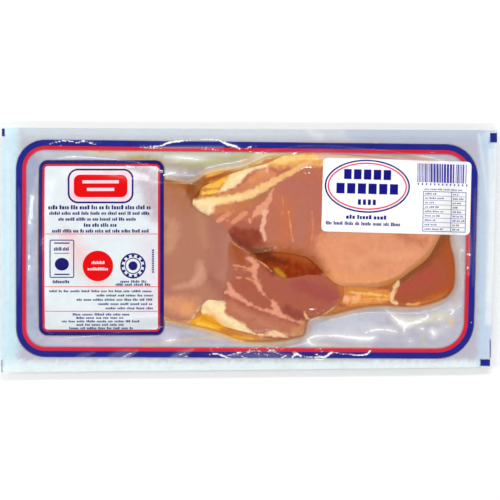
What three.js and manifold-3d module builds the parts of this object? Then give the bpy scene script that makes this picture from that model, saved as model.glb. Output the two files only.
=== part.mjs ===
// Sealed flat pack of sliced back bacon with a sticker on its face, lying with its printed side up.
// Millimetres, +Z up, the pack's length along X. The origin is under the middle of the pack, on the
// surface that it lies on.
import * as THREE from 'three';
import { mergeVertices } from 'three/addons/utils/BufferGeometryUtils.js';
import Module from 'manifold-3d';

// Film: the cut edge leans in at its right end, and the two webs are sealed together all round
const PACK_LENGTH = 274;
const PACK_WIDTH = 135;
const PACK_CORNERS = [[-136.5, 67.5], [137, 66], [133, -64.5], [-137, -67.5]];
const SEALED_FILM = 0.6;
const SEAL_TOP = 5;
const GRID_PITCH = 4.3;
const CUT_MARGIN = 2;

// Rashers: each outline runs through its points on a closed curve, and the film drapes down to the
// next level over the width of the drape. The list runs from the bottom of the stack to the top.
const STACK_DRAPE = 8;
const RASHER_DRAPE = 4;
const LEVELS = [
  {
    name: 'stack',
    top: 8.5,
    drape: STACK_DRAPE,
    outline: [
      [-111.5, 38.5], [-104, 45], [-76.5, 44.5], [-47.5, 39.5], [-31.5, 37.5], [-23, 42.5],
      [-2, 47], [10.5, 52.5], [42, 54], [83, 50.5], [104, 46], [112, 36.5], [114, 21], [111, 6.5],
      [113.5, -6.5], [113, -20.5], [108.5, -26.5], [94.5, -31.5], [67, -31.5], [47, -36],
      [33.5, -39], [31, -47], [22, -50], [7, -51], [-5, -50], [-18.5, -45.5], [-32.5, -42],
      [-49, -39], [-82, -41], [-104, -42], [-111.5, -35],
    ],
  },
  {
    name: 'right rasher',
    top: 10,
    drape: RASHER_DRAPE,
    outline: [
      [80.5, 27.5], [105, 36], [112, 27.5], [110.5, 14], [111, 5.5], [113.5, -6.5], [113, -20],
      [108.5, -26], [94.5, -31], [77, -31], [61, -31.5], [50, -30.5], [47.5, -19], [55.5, -3],
    ],
  },
  {
    name: 'left rasher',
    top: 10.5,
    drape: RASHER_DRAPE,
    outline: [
      [-111.5, 38.5], [-104, 45], [-76.5, 44.5], [-47.5, 39.5], [-31.5, 38.5], [-18.5, 35],
      [-5, 22], [-0.5, 5.5], [-5, -6.5], [-12.5, -19], [-22.5, -27.5], [-30.5, -38.5],
      [-34.5, -41], [-49, -38.5], [-82, -41], [-104, -42], [-111.5, -35],
    ],
  },
  {
    name: 'middle rasher',
    top: 12,
    drape: RASHER_DRAPE,
    outline: [
      [-10, 5.5], [7, 5.5], [22.5, -3], [38, -12], [51, -20], [51.5, -27.5], [47.5, -31.5],
      [39, -37.5], [33, -38.5], [31.5, -45.5], [26, -48.5], [11.5, -48.5], [-0.5, -45.5],
      [-14, -42], [-24, -37.5], [-26.5, -32], [-22.5, -27.5], [-15, -27.5], [-12.5, -21],
      [-11.5, -8],
    ],
  },
  {
    name: 'top rasher',
    top: 14,
    drape: RASHER_DRAPE,
    outline: [
      [-31, 27], [-25.5, 34], [-14, 40], [-2, 44], [9.5, 47.5], [20, 52], [39, 53.5], [61, 51.5],
      [86, 49.5], [103, 43], [109, 30.5], [108.5, 16.5], [104, 5.5], [98, -4.5], [89, -11.5],
      [82, -16.5], [72.5, -20], [57, -20], [44.5, -16.5], [34, -10], [22.5, -6.5], [7.5, -6],
      [1.5, -2], [-10, 8], [-19, 17.5], [-28.5, 21],
    ],
  },
  {
    name: 'hollow beside the top rasher',
    top: 9.5,
    drape: RASHER_DRAPE,
    outline: [[15, -5], [25.5, -3], [35.5, -6.5], [34.5, -12], [27, -15], [17, -11]],
  },
];
const OUTLINE_STEPS = 120;

// The meat's surface rises and falls a little under the film
const SWELL_HEIGHT = 0.45;
const SWELL_LENGTH_X = 46;
const SWELL_LENGTH_Y = 31;

// Sticker: a rounded rectangle, turned a little, which follows the film that it is stuck to
const STICKER_LENGTH = 82;
const STICKER_WIDTH = 40.5;
const STICKER_CORNER = 2.5;
const STICKER_CENTRE = [81.2, 29.4];
const STICKER_TURN = THREE.MathUtils.degToRad(-1.5);
const STICKER_THICKNESS = 0.3;
const STICKER_GAP = 0.1;

const wasm = await Module();
wasm.setup();

function curveThrough(points) {
  const curve = new THREE.CatmullRomCurve3(
    points.map(([x, y]) => new THREE.Vector3(x, y, 0)),
    true,
  );
  return curve.getPoints(OUTLINE_STEPS);
}

for (const level of LEVELS) {
  level.edge = curveThrough(level.outline);
}

// Distance from a point to a closed edge, positive inside it and negative outside
function distanceInside(x, y, edge) {
  let nearest = Infinity;
  let inside = false;
  for (let i = 1; i < edge.length; i += 1) {
    const from = edge[i - 1];
    const to = edge[i];
    const dx = to.x - from.x;
    const dy = to.y - from.y;
    const along = ((x - from.x) * dx + (y - from.y) * dy) / (dx * dx + dy * dy);
    const share = THREE.MathUtils.clamp(along, 0, 1);
    nearest = Math.min(nearest, Math.hypot(x - from.x - share * dx, y - from.y - share * dy));
    if ((from.y > y) !== (to.y > y) && x < from.x + (dx * (y - from.y)) / dy) {
      inside = !inside;
    }
  }
  return inside ? nearest : -nearest;
}

// How far a level reaches at a point: 0 outside it, 1 inside it, smooth over its drape
function cover(x, y, level) {
  const inside = distanceInside(x, y, level.edge);
  return THREE.MathUtils.smoothstep(inside, -level.drape / 2, level.drape / 2);
}

function swell(x, y) {
  const across = Math.sin((2 * Math.PI * (x + 0.4 * y)) / SWELL_LENGTH_X);
  const along = Math.sin((2 * Math.PI * (y - 0.3 * x)) / SWELL_LENGTH_Y);
  return SWELL_HEIGHT * across * along;
}

// Upper face of the pack: the sealed film, then each level mixed over what lies below it
function topOf(x, y) {
  let height = SEAL_TOP;
  for (const level of LEVELS) {
    height = THREE.MathUtils.lerp(height, level.top, cover(x, y, level));
  }
  return height + swell(x, y) * cover(x, y, LEVELS[0]);
}

// Under face of the pack: flat on the surface below the stack, and lifted with the sealed film
function bottomOf(x, y) {
  return (SEAL_TOP - SEALED_FILM) * (1 - cover(x, y, LEVELS[0]));
}

// A sheet between two height functions, wider than the pack all round so that it can be cut out
function sheetBetween(under, upper) {
  const length = PACK_LENGTH + 2 * CUT_MARGIN;
  const width = PACK_WIDTH + 2 * CUT_MARGIN;
  const columns = Math.round(length / GRID_PITCH);
  const rows = Math.round(width / GRID_PITCH);
  const geometry = new THREE.BoxGeometry(length, width, 1, columns, rows, 1);
  const position = geometry.getAttribute('position');
  for (let i = 0; i < position.count; i += 1) {
    const x = position.getX(i);
    const y = position.getY(i);
    position.setZ(i, position.getZ(i) > 0 ? upper(x, y) : under(x, y));
  }
  return geometry;
}

// An upright prism over a flat outline, taller than the pack at both ends
function prismOver(shape) {
  const geometry = new THREE.ExtrudeGeometry(shape, { depth: 40, bevelEnabled: false });
  return geometry.translate(0, 0, -10);
}

function toManifold(geometry) {
  const bare = geometry.clone();
  bare.deleteAttribute('normal');
  bare.deleteAttribute('uv');
  const merged = mergeVertices(bare, 1e-4);
  return new wasm.Manifold(new wasm.Mesh({
    numProp: 3,
    vertProperties: new Float32Array(merged.getAttribute('position').array),
    triVerts: new Uint32Array(merged.getIndex().array),
  }));
}

function toGeometry(manifold) {
  const mesh = manifold.getMesh();
  const geometry = new THREE.BufferGeometry();
  geometry.setAttribute('position', new THREE.BufferAttribute(mesh.vertProperties, 3));
  geometry.setIndex(new THREE.BufferAttribute(mesh.triVerts, 1));
  geometry.computeVertexNormals();
  return geometry;
}

function cutOut(sheet, prism) {
  return toManifold(sheet).intersect(toManifold(prism));
}

function packShape() {
  return new THREE.Shape(PACK_CORNERS.map(([x, y]) => new THREE.Vector2(x, y)));
}

function stickerShape() {
  const x = STICKER_LENGTH / 2;
  const y = STICKER_WIDTH / 2;
  const r = STICKER_CORNER;
  const shape = new THREE.Shape();
  shape.moveTo(r - x, -y);
  shape.lineTo(x - r, -y);
  shape.absarc(x - r, r - y, r, -Math.PI / 2, 0);
  shape.lineTo(x, y - r);
  shape.absarc(x - r, y - r, r, 0, Math.PI / 2);
  shape.lineTo(r - x, y);
  shape.absarc(r - x, y - r, r, Math.PI / 2, Math.PI);
  shape.lineTo(-x, r - y);
  shape.absarc(r - x, r - y, r, Math.PI, Math.PI * 1.5);
  return shape;
}

function makePack() {
  const solid = cutOut(sheetBetween(bottomOf, topOf), prismOver(packShape()));
  const material = new THREE.MeshStandardMaterial({
    color: 0xc9917a,
    roughness: 0.25,
    metalness: 0,
  });
  const mesh = new THREE.Mesh(toGeometry(solid), material);
  mesh.name = 'sealed_pack';
  return mesh;
}

// The sticker's under face is cut with the pack's own upper face, raised by the gap, so both have
// the same facets
function makeSticker() {
  const floor = () => 0;
  const deep = () => -1;
  const under = (x, y) => topOf(x, y) + STICKER_GAP;
  const upper = (x, y) => topOf(x, y) + STICKER_GAP + STICKER_THICKNESS;
  const prism = prismOver(stickerShape());
  prism.rotateZ(STICKER_TURN);
  prism.translate(STICKER_CENTRE[0], STICKER_CENTRE[1], 0);
  const material = new THREE.MeshStandardMaterial({
    color: 0xf6f6f4,
    roughness: 0.45,
    metalness: 0,
  });
  const solid = cutOut(sheetBetween(floor, upper), prism).subtract(toManifold(sheetBetween(deep, under)));
  const mesh = new THREE.Mesh(toGeometry(solid), material);
  mesh.name = 'sticker';
  return mesh;
}

const pack = new THREE.Group();
pack.add(makePack());
pack.add(makeSticker());

export default pack;
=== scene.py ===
import math

import bpy
import numpy as np
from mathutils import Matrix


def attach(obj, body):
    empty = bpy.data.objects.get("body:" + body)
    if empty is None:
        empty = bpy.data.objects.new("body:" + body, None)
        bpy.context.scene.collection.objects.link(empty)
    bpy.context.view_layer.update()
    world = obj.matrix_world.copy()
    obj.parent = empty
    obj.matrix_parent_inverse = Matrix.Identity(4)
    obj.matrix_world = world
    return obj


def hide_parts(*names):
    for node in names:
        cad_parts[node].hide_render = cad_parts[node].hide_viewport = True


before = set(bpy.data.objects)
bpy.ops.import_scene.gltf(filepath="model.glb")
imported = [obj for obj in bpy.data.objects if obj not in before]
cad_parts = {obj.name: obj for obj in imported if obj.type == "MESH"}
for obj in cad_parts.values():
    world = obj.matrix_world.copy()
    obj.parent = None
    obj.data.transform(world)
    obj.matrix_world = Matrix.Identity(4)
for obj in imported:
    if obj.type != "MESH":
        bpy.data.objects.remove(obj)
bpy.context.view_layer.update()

# A sealed flat pack of sliced back bacon, lying with its printed side up. All values but the
# stage's are in millimetres until they reach a mesh, +X is along the pack and +Y is the photo's
# upward direction.

MM = 0.001

# The pack, as in the CAD model: its cut edge, its size, the sealed film's height, and the film's
# grid and soft waves
PACK_CORNERS = {
    "top_left": (-136.5, 67.5), "top_right": (137.0, 66.0),
    "bottom_right": (133.0, -64.5), "bottom_left": (-137.0, -67.5),
}
PACK_LENGTH = 274
PACK_WIDTH = 135
SEAL_TOP = 5.0
FILM_GAP = 0.3
FILM_PITCH = 0.75
SWELL_HEIGHT = 0.45
SWELL_LENGTH_X = 46.0
SWELL_LENGTH_Y = 31.0

# Each level of the stack: its top, how wide the film's slope down from it is, and the points that
# its closed outline runs through
LEVELS = {
    "stack": (8.5, 7.5, [
        (-111.5, 38.5), (-104, 45), (-76.5, 44.5), (-47.5, 39.5), (-31.5, 37.5), (-23, 42.5),
        (-2, 47), (10.5, 52.5), (42, 54), (83, 50.5), (104, 46), (112, 36.5), (114, 21), (111, 6.5),
        (113.5, -6.5), (113, -20.5), (108.5, -26.5), (94.5, -31.5), (67, -31.5), (47, -36),
        (33.5, -39), (31, -47), (22, -50), (7, -51), (-5, -50), (-18.5, -45.5), (-32.5, -42),
        (-49, -39), (-82, -41), (-104, -42), (-111.5, -35)]),
    "right": (10.0, 6.0, [
        (80.5, 27.5), (105, 36), (112, 27.5), (110.5, 14), (111, 5.5), (113.5, -6.5), (113, -20),
        (108.5, -26), (94.5, -31), (77, -31), (61, -31.5), (50, -30.5), (47.5, -19), (55.5, -3)]),
    "left": (10.5, 6.0, [
        (-111.5, 38.5), (-104, 45), (-76.5, 44.5), (-47.5, 39.5), (-31.5, 38.5), (-18.5, 35),
        (-5, 22), (-0.5, 5.5), (-4, -6.5), (-8, -18), (-14, -27), (-22, -31), (-27.5, -33.5),
        (-31.5, -39), (-34.5, -41), (-49, -38.5), (-82, -41), (-104, -42), (-111.5, -35)]),
    "middle": (12.0, 7.0, [
        (-10.4, 4.8), (-6.5, 2.6), (1.4, -3.2), (9.5, -8), (15.1, -13.4), (19.1, -15.4), (25.6, -14.9),
        (34.5, -13.6), (51, -18), (51.5, -27.5), (47.5, -31.5), (39, -37.5), (33, -38.5),
        (31.5, -45.5), (26, -48.5), (11.5, -48.5), (-0.5, -45.5), (-14, -42), (-24, -37.5),
        (-26.5, -32), (-22.5, -27.5), (-15, -27.5), (-13.4, -21), (-11.5, -8)]),
    "hollow": (12.4, 9.0, [
        (0, -5), (9, 1), (30, 2), (43, -5), (45, -14), (36, -19), (20, -19), (9, -13)]),
    "top": (14.0, 8.0, [
        (-31, 27), (-26.5, 33.5), (-14, 40), (-2, 44.5), (9.5, 47.5), (20, 52), (39, 53.5), (61, 51.5),
        (86, 49.5), (103, 43), (109, 30.5), (108.5, 16.5), (104, 5.5), (98, -4.5), (89, -11.5),
        (82, -16.5), (72.5, -20), (57, -20.5), (48.2, -18.6), (42.4, -13.8), (36.9, -8.2),
        (32.1, -4.2), (24, -2.2), (12.7, -1), (2.2, -1.6), (-4.2, 1.4), (-9.1, 5.2), (-11.5, 9.4),
        (-17.7, 15), (-22.4, 18.6), (-30, 23.6)]),
}

# How far the film evens out under the sticker, and the rashers' thickness, taper, gaps and rounding
UNDER_STICKER_BLUR = 8.0
RASHER_THICKNESS = 2.6
EDGE_TAPER = 2.2
MEAT_CLEARANCE = 0.14
PIECE_GAP = 0.04
SLICE_GAP = 0.02
LEAST_STACK = 0.3
EDGE_ROUND = 1.4
LEAST_EDGE = 0.12

# The printed frame, the printed panel and the sticker
FRAME_CORNERS = ((-128.4, 61.0), (126.6, 58.2), (123.6, -60.0), (-128.4, -58.9))
FRAME_RADII = (16.0, 18.0, 20.5, 16.0)
FRAME_BLUE_WIDTH = 3.4
FRAME_RED_WIDTH = 2.3
PANEL_CENTRE = (-81.3, 1.2)
PANEL_SIZE = (69.0, 96.6)
PANEL_RADIUS = 4.8
PANEL_NAVY_WIDTH = 2.1
PANEL_RED_WIDTH = 1.2
EDGE_MARKS = ((-135.4, 64.8, 1.6, 4.2), (134.8, 61.9, 3.8, 5.2), (130.2, -62.1, 5.4, 3.6),
              (133.0, -54.5, 0.5, 10.0), (-136.2, -64.0, 0.4, 6.5))
STICKER_CENTRE = (81.2, 29.4)
STICKER_SIZE = (82.0, 40.5)
STICKER_RADIUS = 2.5
STICKER_TURN = math.radians(-1.5)
STICKER_LIFT = 0.1
STICKER_THICKNESS = 0.15

# How far each layer of print lies under the film's surface or above the sticker's, and its body
FRAME_PRINT_DEPTH = 0.07
PANEL_DEPTH = 0.1
PLAQUE_DEPTH = 0.085
PANEL_RED_DEPTH = 0.075
PANEL_BAR_DEPTH = 0.05
STICKER_PRINT_LIFT = 0.05
PRINT_THICKNESS = 0.02


def tone(red, green, blue):
    """A linear colour from 0 to 255 display values."""
    shares = np.array([red, green, blue]) / 255
    low = shares / 12.92
    high = ((shares + 0.055) / 1.055) ** 2.4
    return tuple(float(v) for v in np.where(shares <= 0.04045, low, high))


# Colours of the meat
LEAN_MAUVE = tone(184, 122, 100)
LEAN_RED = tone(175, 93, 73)
LEAN_PINK = tone(190, 117, 90)
LEAN_TOP = tone(195, 112, 87)
LEAN_BROWN = tone(196, 122, 80)
LEAN_DARK = tone(142, 58, 38)
# The darkest lean, deepened as painted shadow along the top rasher's lower edge
LEAN_DEEP_IN_SHADOW = tone(120, 44, 26)
LEAN_PURPLE = tone(166, 76, 74)
LEAN_RIGHT = tone(172, 84, 56)
SALMON = tone(230, 154, 116)
SALMON_WARM = tone(237, 157, 104)
LENS = tone(216, 140, 98)
MARBLE = tone(234, 162, 132)
MARBLE_WARM = tone(228, 152, 114)
CREAM = tone(254, 225, 176)
CREAM_WARM = tone(244, 195, 134)
GOLD = tone(249, 172, 2)
GOLD_DEEP = tone(226, 142, 28)
AMBER = tone(204, 124, 44)
ORANGE_FAT = tone(243, 184, 108)
BAND_ORANGE = tone(229, 143, 62)
# The hollow's fat and juice, darkened as painted shade, and the painted shadow under the top rasher's
# edge
HOLLOW_SHADED_ORANGE = tone(143, 40, 0)
HOLLOW_SHADOW_BROWN = tone(98, 36, 8)


def smooth_step(low, high, value):
    share = np.clip((value - low) / (high - low), 0, 1)
    return share * share * (3 - 2 * share)


def mixed(under, over, share):
    """One colour array over another, by a share for each point."""
    return under + (np.asarray(over) - under) * np.asarray(share)[:, None]


def soft_noise(x, y, pitch, seed):
    """Smooth noise from -1 to 1, with bumps about one pitch across."""
    size = 64
    table = np.random.default_rng(seed).uniform(-1, 1, (size, size))
    turn = 0.7 * seed
    u = (np.asarray(x) * math.cos(turn) - np.asarray(y) * math.sin(turn)) / pitch
    v = (np.asarray(x) * math.sin(turn) + np.asarray(y) * math.cos(turn)) / pitch
    column = np.floor(u).astype(int)
    row = np.floor(v).astype(int)
    s = smooth_step(0, 1, u - column)
    t = smooth_step(0, 1, v - row)
    corner = [[table[(row + j) % size, (column + i) % size] for i in (0, 1)] for j in (0, 1)]
    lower = corner[0][0] * (1 - s) + corner[0][1] * s
    upper = corner[1][0] * (1 - s) + corner[1][1] * s
    return lower * (1 - t) + upper * t


def curve_through(points, closed=False, steps=8):
    """A smooth curve through points in the plane. A third value, such as a width, goes with them."""
    p = np.asarray(points, float)
    if closed:
        p = np.vstack([p[-1], p, p[0], p[1]])
    else:
        p = np.vstack([2 * p[0] - p[1], p, 2 * p[-1] - p[-2]])
    run = []
    for a, b, c, d in zip(p, p[1:], p[2:], p[3:]):
        ends = [0.0]
        for one, two in ((a, b), (b, c), (c, d)):
            ends.append(ends[-1] + max(math.dist(one[:2], two[:2]), 1e-6) ** 0.5)
        t0, t1, t2, t3 = ends
        t = np.linspace(t1, t2, steps, endpoint=False)[:, None]
        ab = (t1 - t) / (t1 - t0) * a + (t - t0) / (t1 - t0) * b
        bc = (t2 - t) / (t2 - t1) * b + (t - t1) / (t2 - t1) * c
        cd = (t3 - t) / (t3 - t2) * c + (t - t2) / (t3 - t2) * d
        abc = (t2 - t) / (t2 - t0) * ab + (t - t0) / (t2 - t0) * bc
        bcd = (t3 - t) / (t3 - t1) * bc + (t - t1) / (t3 - t1) * cd
        run.append((t2 - t) / (t2 - t1) * abc + (t - t1) / (t2 - t1) * bcd)
    run.append(p[-2:-1])
    return np.vstack(run)


def nearest_on(x, y, path):
    """For each point, its distance to a path, and the path's values at the nearest place."""
    best = np.full(x.shape, np.inf)
    values = np.zeros(x.shape + (path.shape[1],))
    for start, end in zip(path, path[1:]):
        step = end - start
        length = max(step[0] ** 2 + step[1] ** 2, 1e-9)
        share = np.clip(((x - start[0]) * step[0] + (y - start[1]) * step[1]) / length, 0, 1)
        gap = np.hypot(x - start[0] - share * step[0], y - start[1] - share * step[1])
        closer = gap < best
        best = np.where(closer, gap, best)
        values[closer] = start + share[closer, None] * step
    return best, values


def inside_of(x, y, path):
    """True for each point inside a closed path."""
    inside = np.zeros(x.shape, bool)
    for start, end in zip(path, path[1:]):
        if start[1] == end[1]:
            continue
        crosses = (start[1] > y) != (end[1] > y)
        at = start[0] + (end[0] - start[0]) * (y - start[1]) / (end[1] - start[1])
        inside ^= crosses & (x < at)
    return inside


def depth_in(x, y, path):
    """Distance to a closed path, positive inside it and negative outside."""
    gap, _ = nearest_on(x, y, path)
    return np.where(inside_of(x, y, path), gap, -gap)


def near_path(x, y, path, reach):
    """True for each point in a path's own box, made larger by a reach on every side."""
    low = path[:, :2].min(0) - reach
    high = path[:, :2].max(0) + reach
    return (x > low[0]) & (x < high[0]) & (y > low[1]) & (y < high[1])


OUTLINES = {name: curve_through(points, closed=True, steps=6) for name, (_, _, points) in LEVELS.items()}

# Fields over the pack, worked out once on a half-millimetre grid and read between its points
FIELD_STEP = 0.5
FIELD_HALF_X = 139
FIELD_HALF_Y = 70
FIELD_X = np.arange(-FIELD_HALF_X, FIELD_HALF_X + 0.1, FIELD_STEP)
FIELD_Y = np.arange(-FIELD_HALF_Y, FIELD_HALF_Y + 0.1, FIELD_STEP)
GRID_X, GRID_Y = np.meshgrid(FIELD_X, FIELD_Y)


def read_field(field, x, y):
    u = np.clip((np.asarray(x) - FIELD_X[0]) / FIELD_STEP, 0, len(FIELD_X) - 1.001)
    v = np.clip((np.asarray(y) - FIELD_Y[0]) / FIELD_STEP, 0, len(FIELD_Y) - 1.001)
    column = u.astype(int)
    row = v.astype(int)
    s = u - column
    t = v - row
    lower = field[row, column] * (1 - s) + field[row, column + 1] * s
    upper = field[row + 1, column] * (1 - s) + field[row + 1, column + 1] * s
    return lower * (1 - t) + upper * t


def blurred(field, reach):
    """A field smoothed over a reach in millimetres, both ways."""
    weights = np.hanning(2 * round(reach / FIELD_STEP) + 3)
    weights /= weights.sum()

    def smoothed(line):
        return np.convolve(np.pad(line, len(weights) // 2, mode="edge"), weights, mode="valid")
    return np.apply_along_axis(smoothed, 1, np.apply_along_axis(smoothed, 0, field))


DEPTH = {name: depth_in(GRID_X, GRID_Y, path) for name, path in OUTLINES.items()}


def cover(name, drape):
    return smooth_step(-drape / 2, drape / 2, DEPTH[name])


# How a crease's rise, its core of painted white glint and the painted pale glint halo round it fall away
# to its sides
CREASE_REACH = 8.0
CREASE_EASE = 0.6
CORE_SHARE = 0.85
CORE_MARGIN = 0.12
CORE_FEATHER = 1.6
GLINT_HALO_WIDTH = 2.6

# Creases of the upper film, each with a painted white glint: how far each stands up, how strong its
# painted glint is, and points with a width
CREASES_AND_GLINTS = [
    (0.3, 0.9, [
        (-110, 58.4, 0.5), (-104, 60.1, 0.7), (-99.5, 60.2, 0.9), (-94.8, 59.1, 0.7), (-91, 59.9, 0.9),
        (-88.5, 59.4, 0.8), (-84.3, 57.8, 0.6)]),
    (0.35, 1.0, [
        (-60.0, 57.0, 0.6), (-49.2, 57.3, 1.0), (-44.3, 59.1, 1.3), (-39.4, 59.9, 1.2),
        (-30, 60.6, 0.7), (-22, 60.9, 0.8), (-16.3, 60.3, 1.1), (-13, 58.8, 1.5), (-7.1, 57.0, 1.2),
        (-5.0, 55.7, 1.3)]),
    (0.15, 0.7, [(-64.7, 56.6, 0.4), (-44, 55.6, 0.6), (-22, 55.2, 0.5), (-5.7, 54.2, 0.6)]),
    (0.2, 0.8, [(-2.2, 55.6, 0.6), (-0.6, 56.7, 0.8), (3.3, 57.2, 0.6)]),
    (0.25, 0.9, [(0.0, 54.2, 0.6), (6.6, 53.4, 0.8), (10.5, 53.6, 0.6)]),
    (0.25, 0.9, [(22.6, 52.8, 0.6), (25.3, 53.1, 1.5), (26.4, 53.9, 0.6)]),
    (0.2, 0.85, [(-41, 51.4, 0.9), (-36, 50.8, 1.5), (-30, 50.2, 1.2), (-26.8, 49.3, 0.6)]),
    (0.15, 0.6, [(-74, 53.2, 0.6), (-69, 52.4, 0.9), (-63, 51.8, 0.5)]),
    (0.3, 0.95, [(-47.1, 41.2, 1.2), (-43.5, 42.2, 1.3), (-40.4, 42.6, 0.8)]),
    (0.2, 0.7, [(-38.0, 42.2, 0.6), (-35.0, 42.5, 0.8), (-33.0, 42.2, 0.5)]),
    (0.3, 0.9, [(-68.5, 46.4, 0.8), (-66, 45.8, 1.5), (-62, 45.6, 0.8)]),
    (0.15, 0.5, [(15.5, 39.2, 0.6), (19.0, 37.0, 0.7), (24.0, 37.4, 0.8), (26.6, 40.4, 0.6)]),
    (0.25, 0.62, [(27.5, 44.4, 0.8), (31.4, 45.5, 1.4), (37.6, 45.3, 0.8)]),
    (0.2, 0.55, [(28.1, 42.2, 0.6), (33.0, 42.5, 1.2), (36.4, 41.2, 0.7)]),
    (0.2, 0.5, [(29.0, 43.6, 0.5), (31.2, 41.4, 0.8), (34.0, 44.6, 0.8)]),
    (0.35, 1.0, [
        (32.2, -49.2, 1.4), (36.0, -47.6, 1.5), (42.0, -47.2, 1.2), (48.5, -47.3, 1.6),
        (56.7, -48.2, 1.8), (65.6, -48.8, 2.2), (70.0, -47.9, 1.0)]),
    (0.3, 0.95, [
        (64.0, -45.6, 1.0), (69.4, -44.1, 1.4), (74.4, -43.8, 1.2), (80.1, -44.7, 1.4),
        (82.8, -45.4, 0.6)]),
    (0.25, 0.85, [(32.2, -49.4, 1.3), (33.6, -51.4, 1.6), (37.0, -52.8, 0.9)]),
    (0.35, 0.75, [(74.8, -32.5, 1.0), (79.5, -36.5, 1.6), (83.2, -40.3, 2.6)]),
    (0.45, 0.95, [
        (83.4, -39.2, 2.2), (85.8, -41.0, 3.4), (89.6, -40.3, 1.8), (94.6, -38.4, 1.2),
        (98.6, -36.9, 1.5), (97.8, -34.4, 0.6)]),
    (0.4, 0.9, [(86.2, -41.0, 2.4), (85.7, -43.4, 1.6), (85.4, -45.6, 0.8)]),
    (0.4, 1.0, [(100.8, -44.6, 1.6), (101.8, -46.0, 2.2)]),
    (0.25, 0.85, [(93.8, -43.3, 0.9), (95.2, -43.2, 1.4), (96.6, -44.2, 0.8)]),
    (0.35, 0.9, [
        (110.0, -33.3, 0.9), (111.6, -32.9, 1.3), (112.6, -34.2, 1.2), (111.2, -35.4, 1.0),
        (112.4, -36.8, 0.8)]),
    (0.2, 0.75, [(113.0, -34.6, 0.6), (114.6, -32.2, 0.7), (117.6, -29.9, 0.6)]),
    (0.15, 0.6, [(86.5, -49.6, 0.6), (89.0, -50.4, 1.2), (91.6, -50.0, 0.6)]),
    (0.3, 0.9, [(121.0, -1.7, 1.1), (121.6, -2.8, 1.6)]),
    (0.3, 0.9, [(120.5, -9.4, 1.0), (121.0, -9.9, 1.3)]),
    (0.15, 0.8, [(122.2, -39.6, 0.8), (122.7, -40.2, 0.8)]),
    (0.3, 1.0, [
        (28.1, -57.8, 0.5), (32.0, -58.9, 0.7), (37.6, -59.2, 0.8), (42.0, -58.8, 1.0),
        (45.2, -56.6, 1.5), (46.2, -56.2, 0.6)]),
    (0.2, 0.85, [
        (45.6, -56.4, 0.8), (52.0, -57.2, 0.8), (58.0, -57.8, 1.0), (64.6, -57.6, 1.1),
        (66.9, -55.6, 1.3)]),
    (0.1, 0.8, [(-73, -61.0, 0.4), (-68.5, -58.4, 0.7), (-65, -56.6, 0.4)]),
    (0.1, 0.8, [(-70, -60.4, 0.4), (-66.5, -57.8, 0.6), (-63.6, -56.6, 0.4)]),
    (0.1, 0.8, [(-41, -59.8, 0.4), (-38.0, -57.6, 0.7), (-34.6, -56.2, 0.4)]),
    (0.15, 0.75, [(-38, -57.4, 0.4), (-33.5, -58.6, 0.7), (-37.5, -59.6, 0.5)]),
    (0.25, 0.85, [(-24.2, -57.8, 0.7), (-17.1, -57.6, 0.9), (-13.5, -58.4, 0.8), (-8, -57.4, 0.7)]),
    (0.3, 0.9, [
        (-9.4, -57.4, 0.6), (-4.4, -56.3, 0.9), (-2.0, -56.9, 0.6), (0.6, -56.2, 0.7),
        (4.2, -55.3, 0.8), (7.2, -56.4, 0.7)]),
    (0.25, 0.8, [
        (-8.2, -55.4, 0.4), (-3.8, -53.6, 0.5), (2.2, -54.4, 0.7), (7.4, -52.8, 0.6),
        (12.0, -54.8, 0.7), (16.0, -54.0, 0.5)]),
    (0.3, 0.9, [
        (9.4, -56.8, 0.6), (12.4, -55.2, 0.9), (14.6, -56.4, 0.7), (18.8, -58.0, 0.6),
        (21.6, -59.2, 0.6)]),
    (0.35, 1.0, [(23.8, -59.4, 0.9), (26.4, -57.2, 1.5), (28.4, -58.8, 1.0)]),
    (0.3, 1.0, [(-46.0, -49.9, 0.9), (-43.0, -49.7, 1.3), (-40.3, -49.4, 0.8)]),
    (0.25, 0.6, [(32.4, -31.8, 0.6), (34.9, -32.8, 1.5), (37.4, -31.9, 0.6)]),
    (0.2, 0.6, [(31.6, -30.6, 0.5), (34.6, -30.2, 0.6), (38.8, -30.6, 0.6)]),
    (0.2, 0.8, [(30.8, -34.4, 0.7), (31.8, -37.1, 0.9), (34.9, -38.4, 0.9), (39.0, -36.8, 0.6)]),
    (0.1, 0.4, [(38, -30.8, 0.5), (43, -30.2, 0.8), (46.8, -30.4, 0.5)]),
    (0.15, 0.5, [(43.2, 9.8, 0.6), (46.0, 7.2, 0.8), (52.4, 6.0, 0.6)]),
    (0.3, 0.55, [(116.1, 5.5, 0.8), (116.6, -6.6, 1.0), (117.7, -19.2, 0.8)]),
    (0.25, 0.45, [(117.7, -20.9, 0.7), (119.4, -11.0, 0.8), (119.9, 0.0, 0.6)]),
    (0.2, 0.6, [(98.5, 54.2, 0.5), (100.6, 53.6, 1.0), (103.5, 53.9, 0.6)]),
    (0.15, 0.6, [(-98, -57.0, 0.4), (-93, -59.2, 0.8), (-88, -57.6, 0.5)]),
    (0.15, 0.5, [(-72, -58.6, 0.4), (-68.5, -57.6, 0.7), (-65, -59.0, 0.5)]),
]

# Boxes of fine random cracks, thin creases with painted white glints: seed, count, range along and
# across the pack, lengths and width
CRACK_BOXES = (
    (31, 30, (-20, 46), (-59.8, -53.4), (2.5, 8), 0.62),
    (32, 5, (-108, -82), (57.5, 60.5), (3, 8), 0.6),
    (33, 7, (-30, 12), (55.0, 58.5), (4, 10), 0.6),
    (34, 7, (117.5, 123.5), (-16, 2), (1, 2.5), 0.8),
    (35, 5, (100, 116), (-44, -31), (1.5, 3.5), 0.8),
)
CRACK_RISE = 0.12


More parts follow.
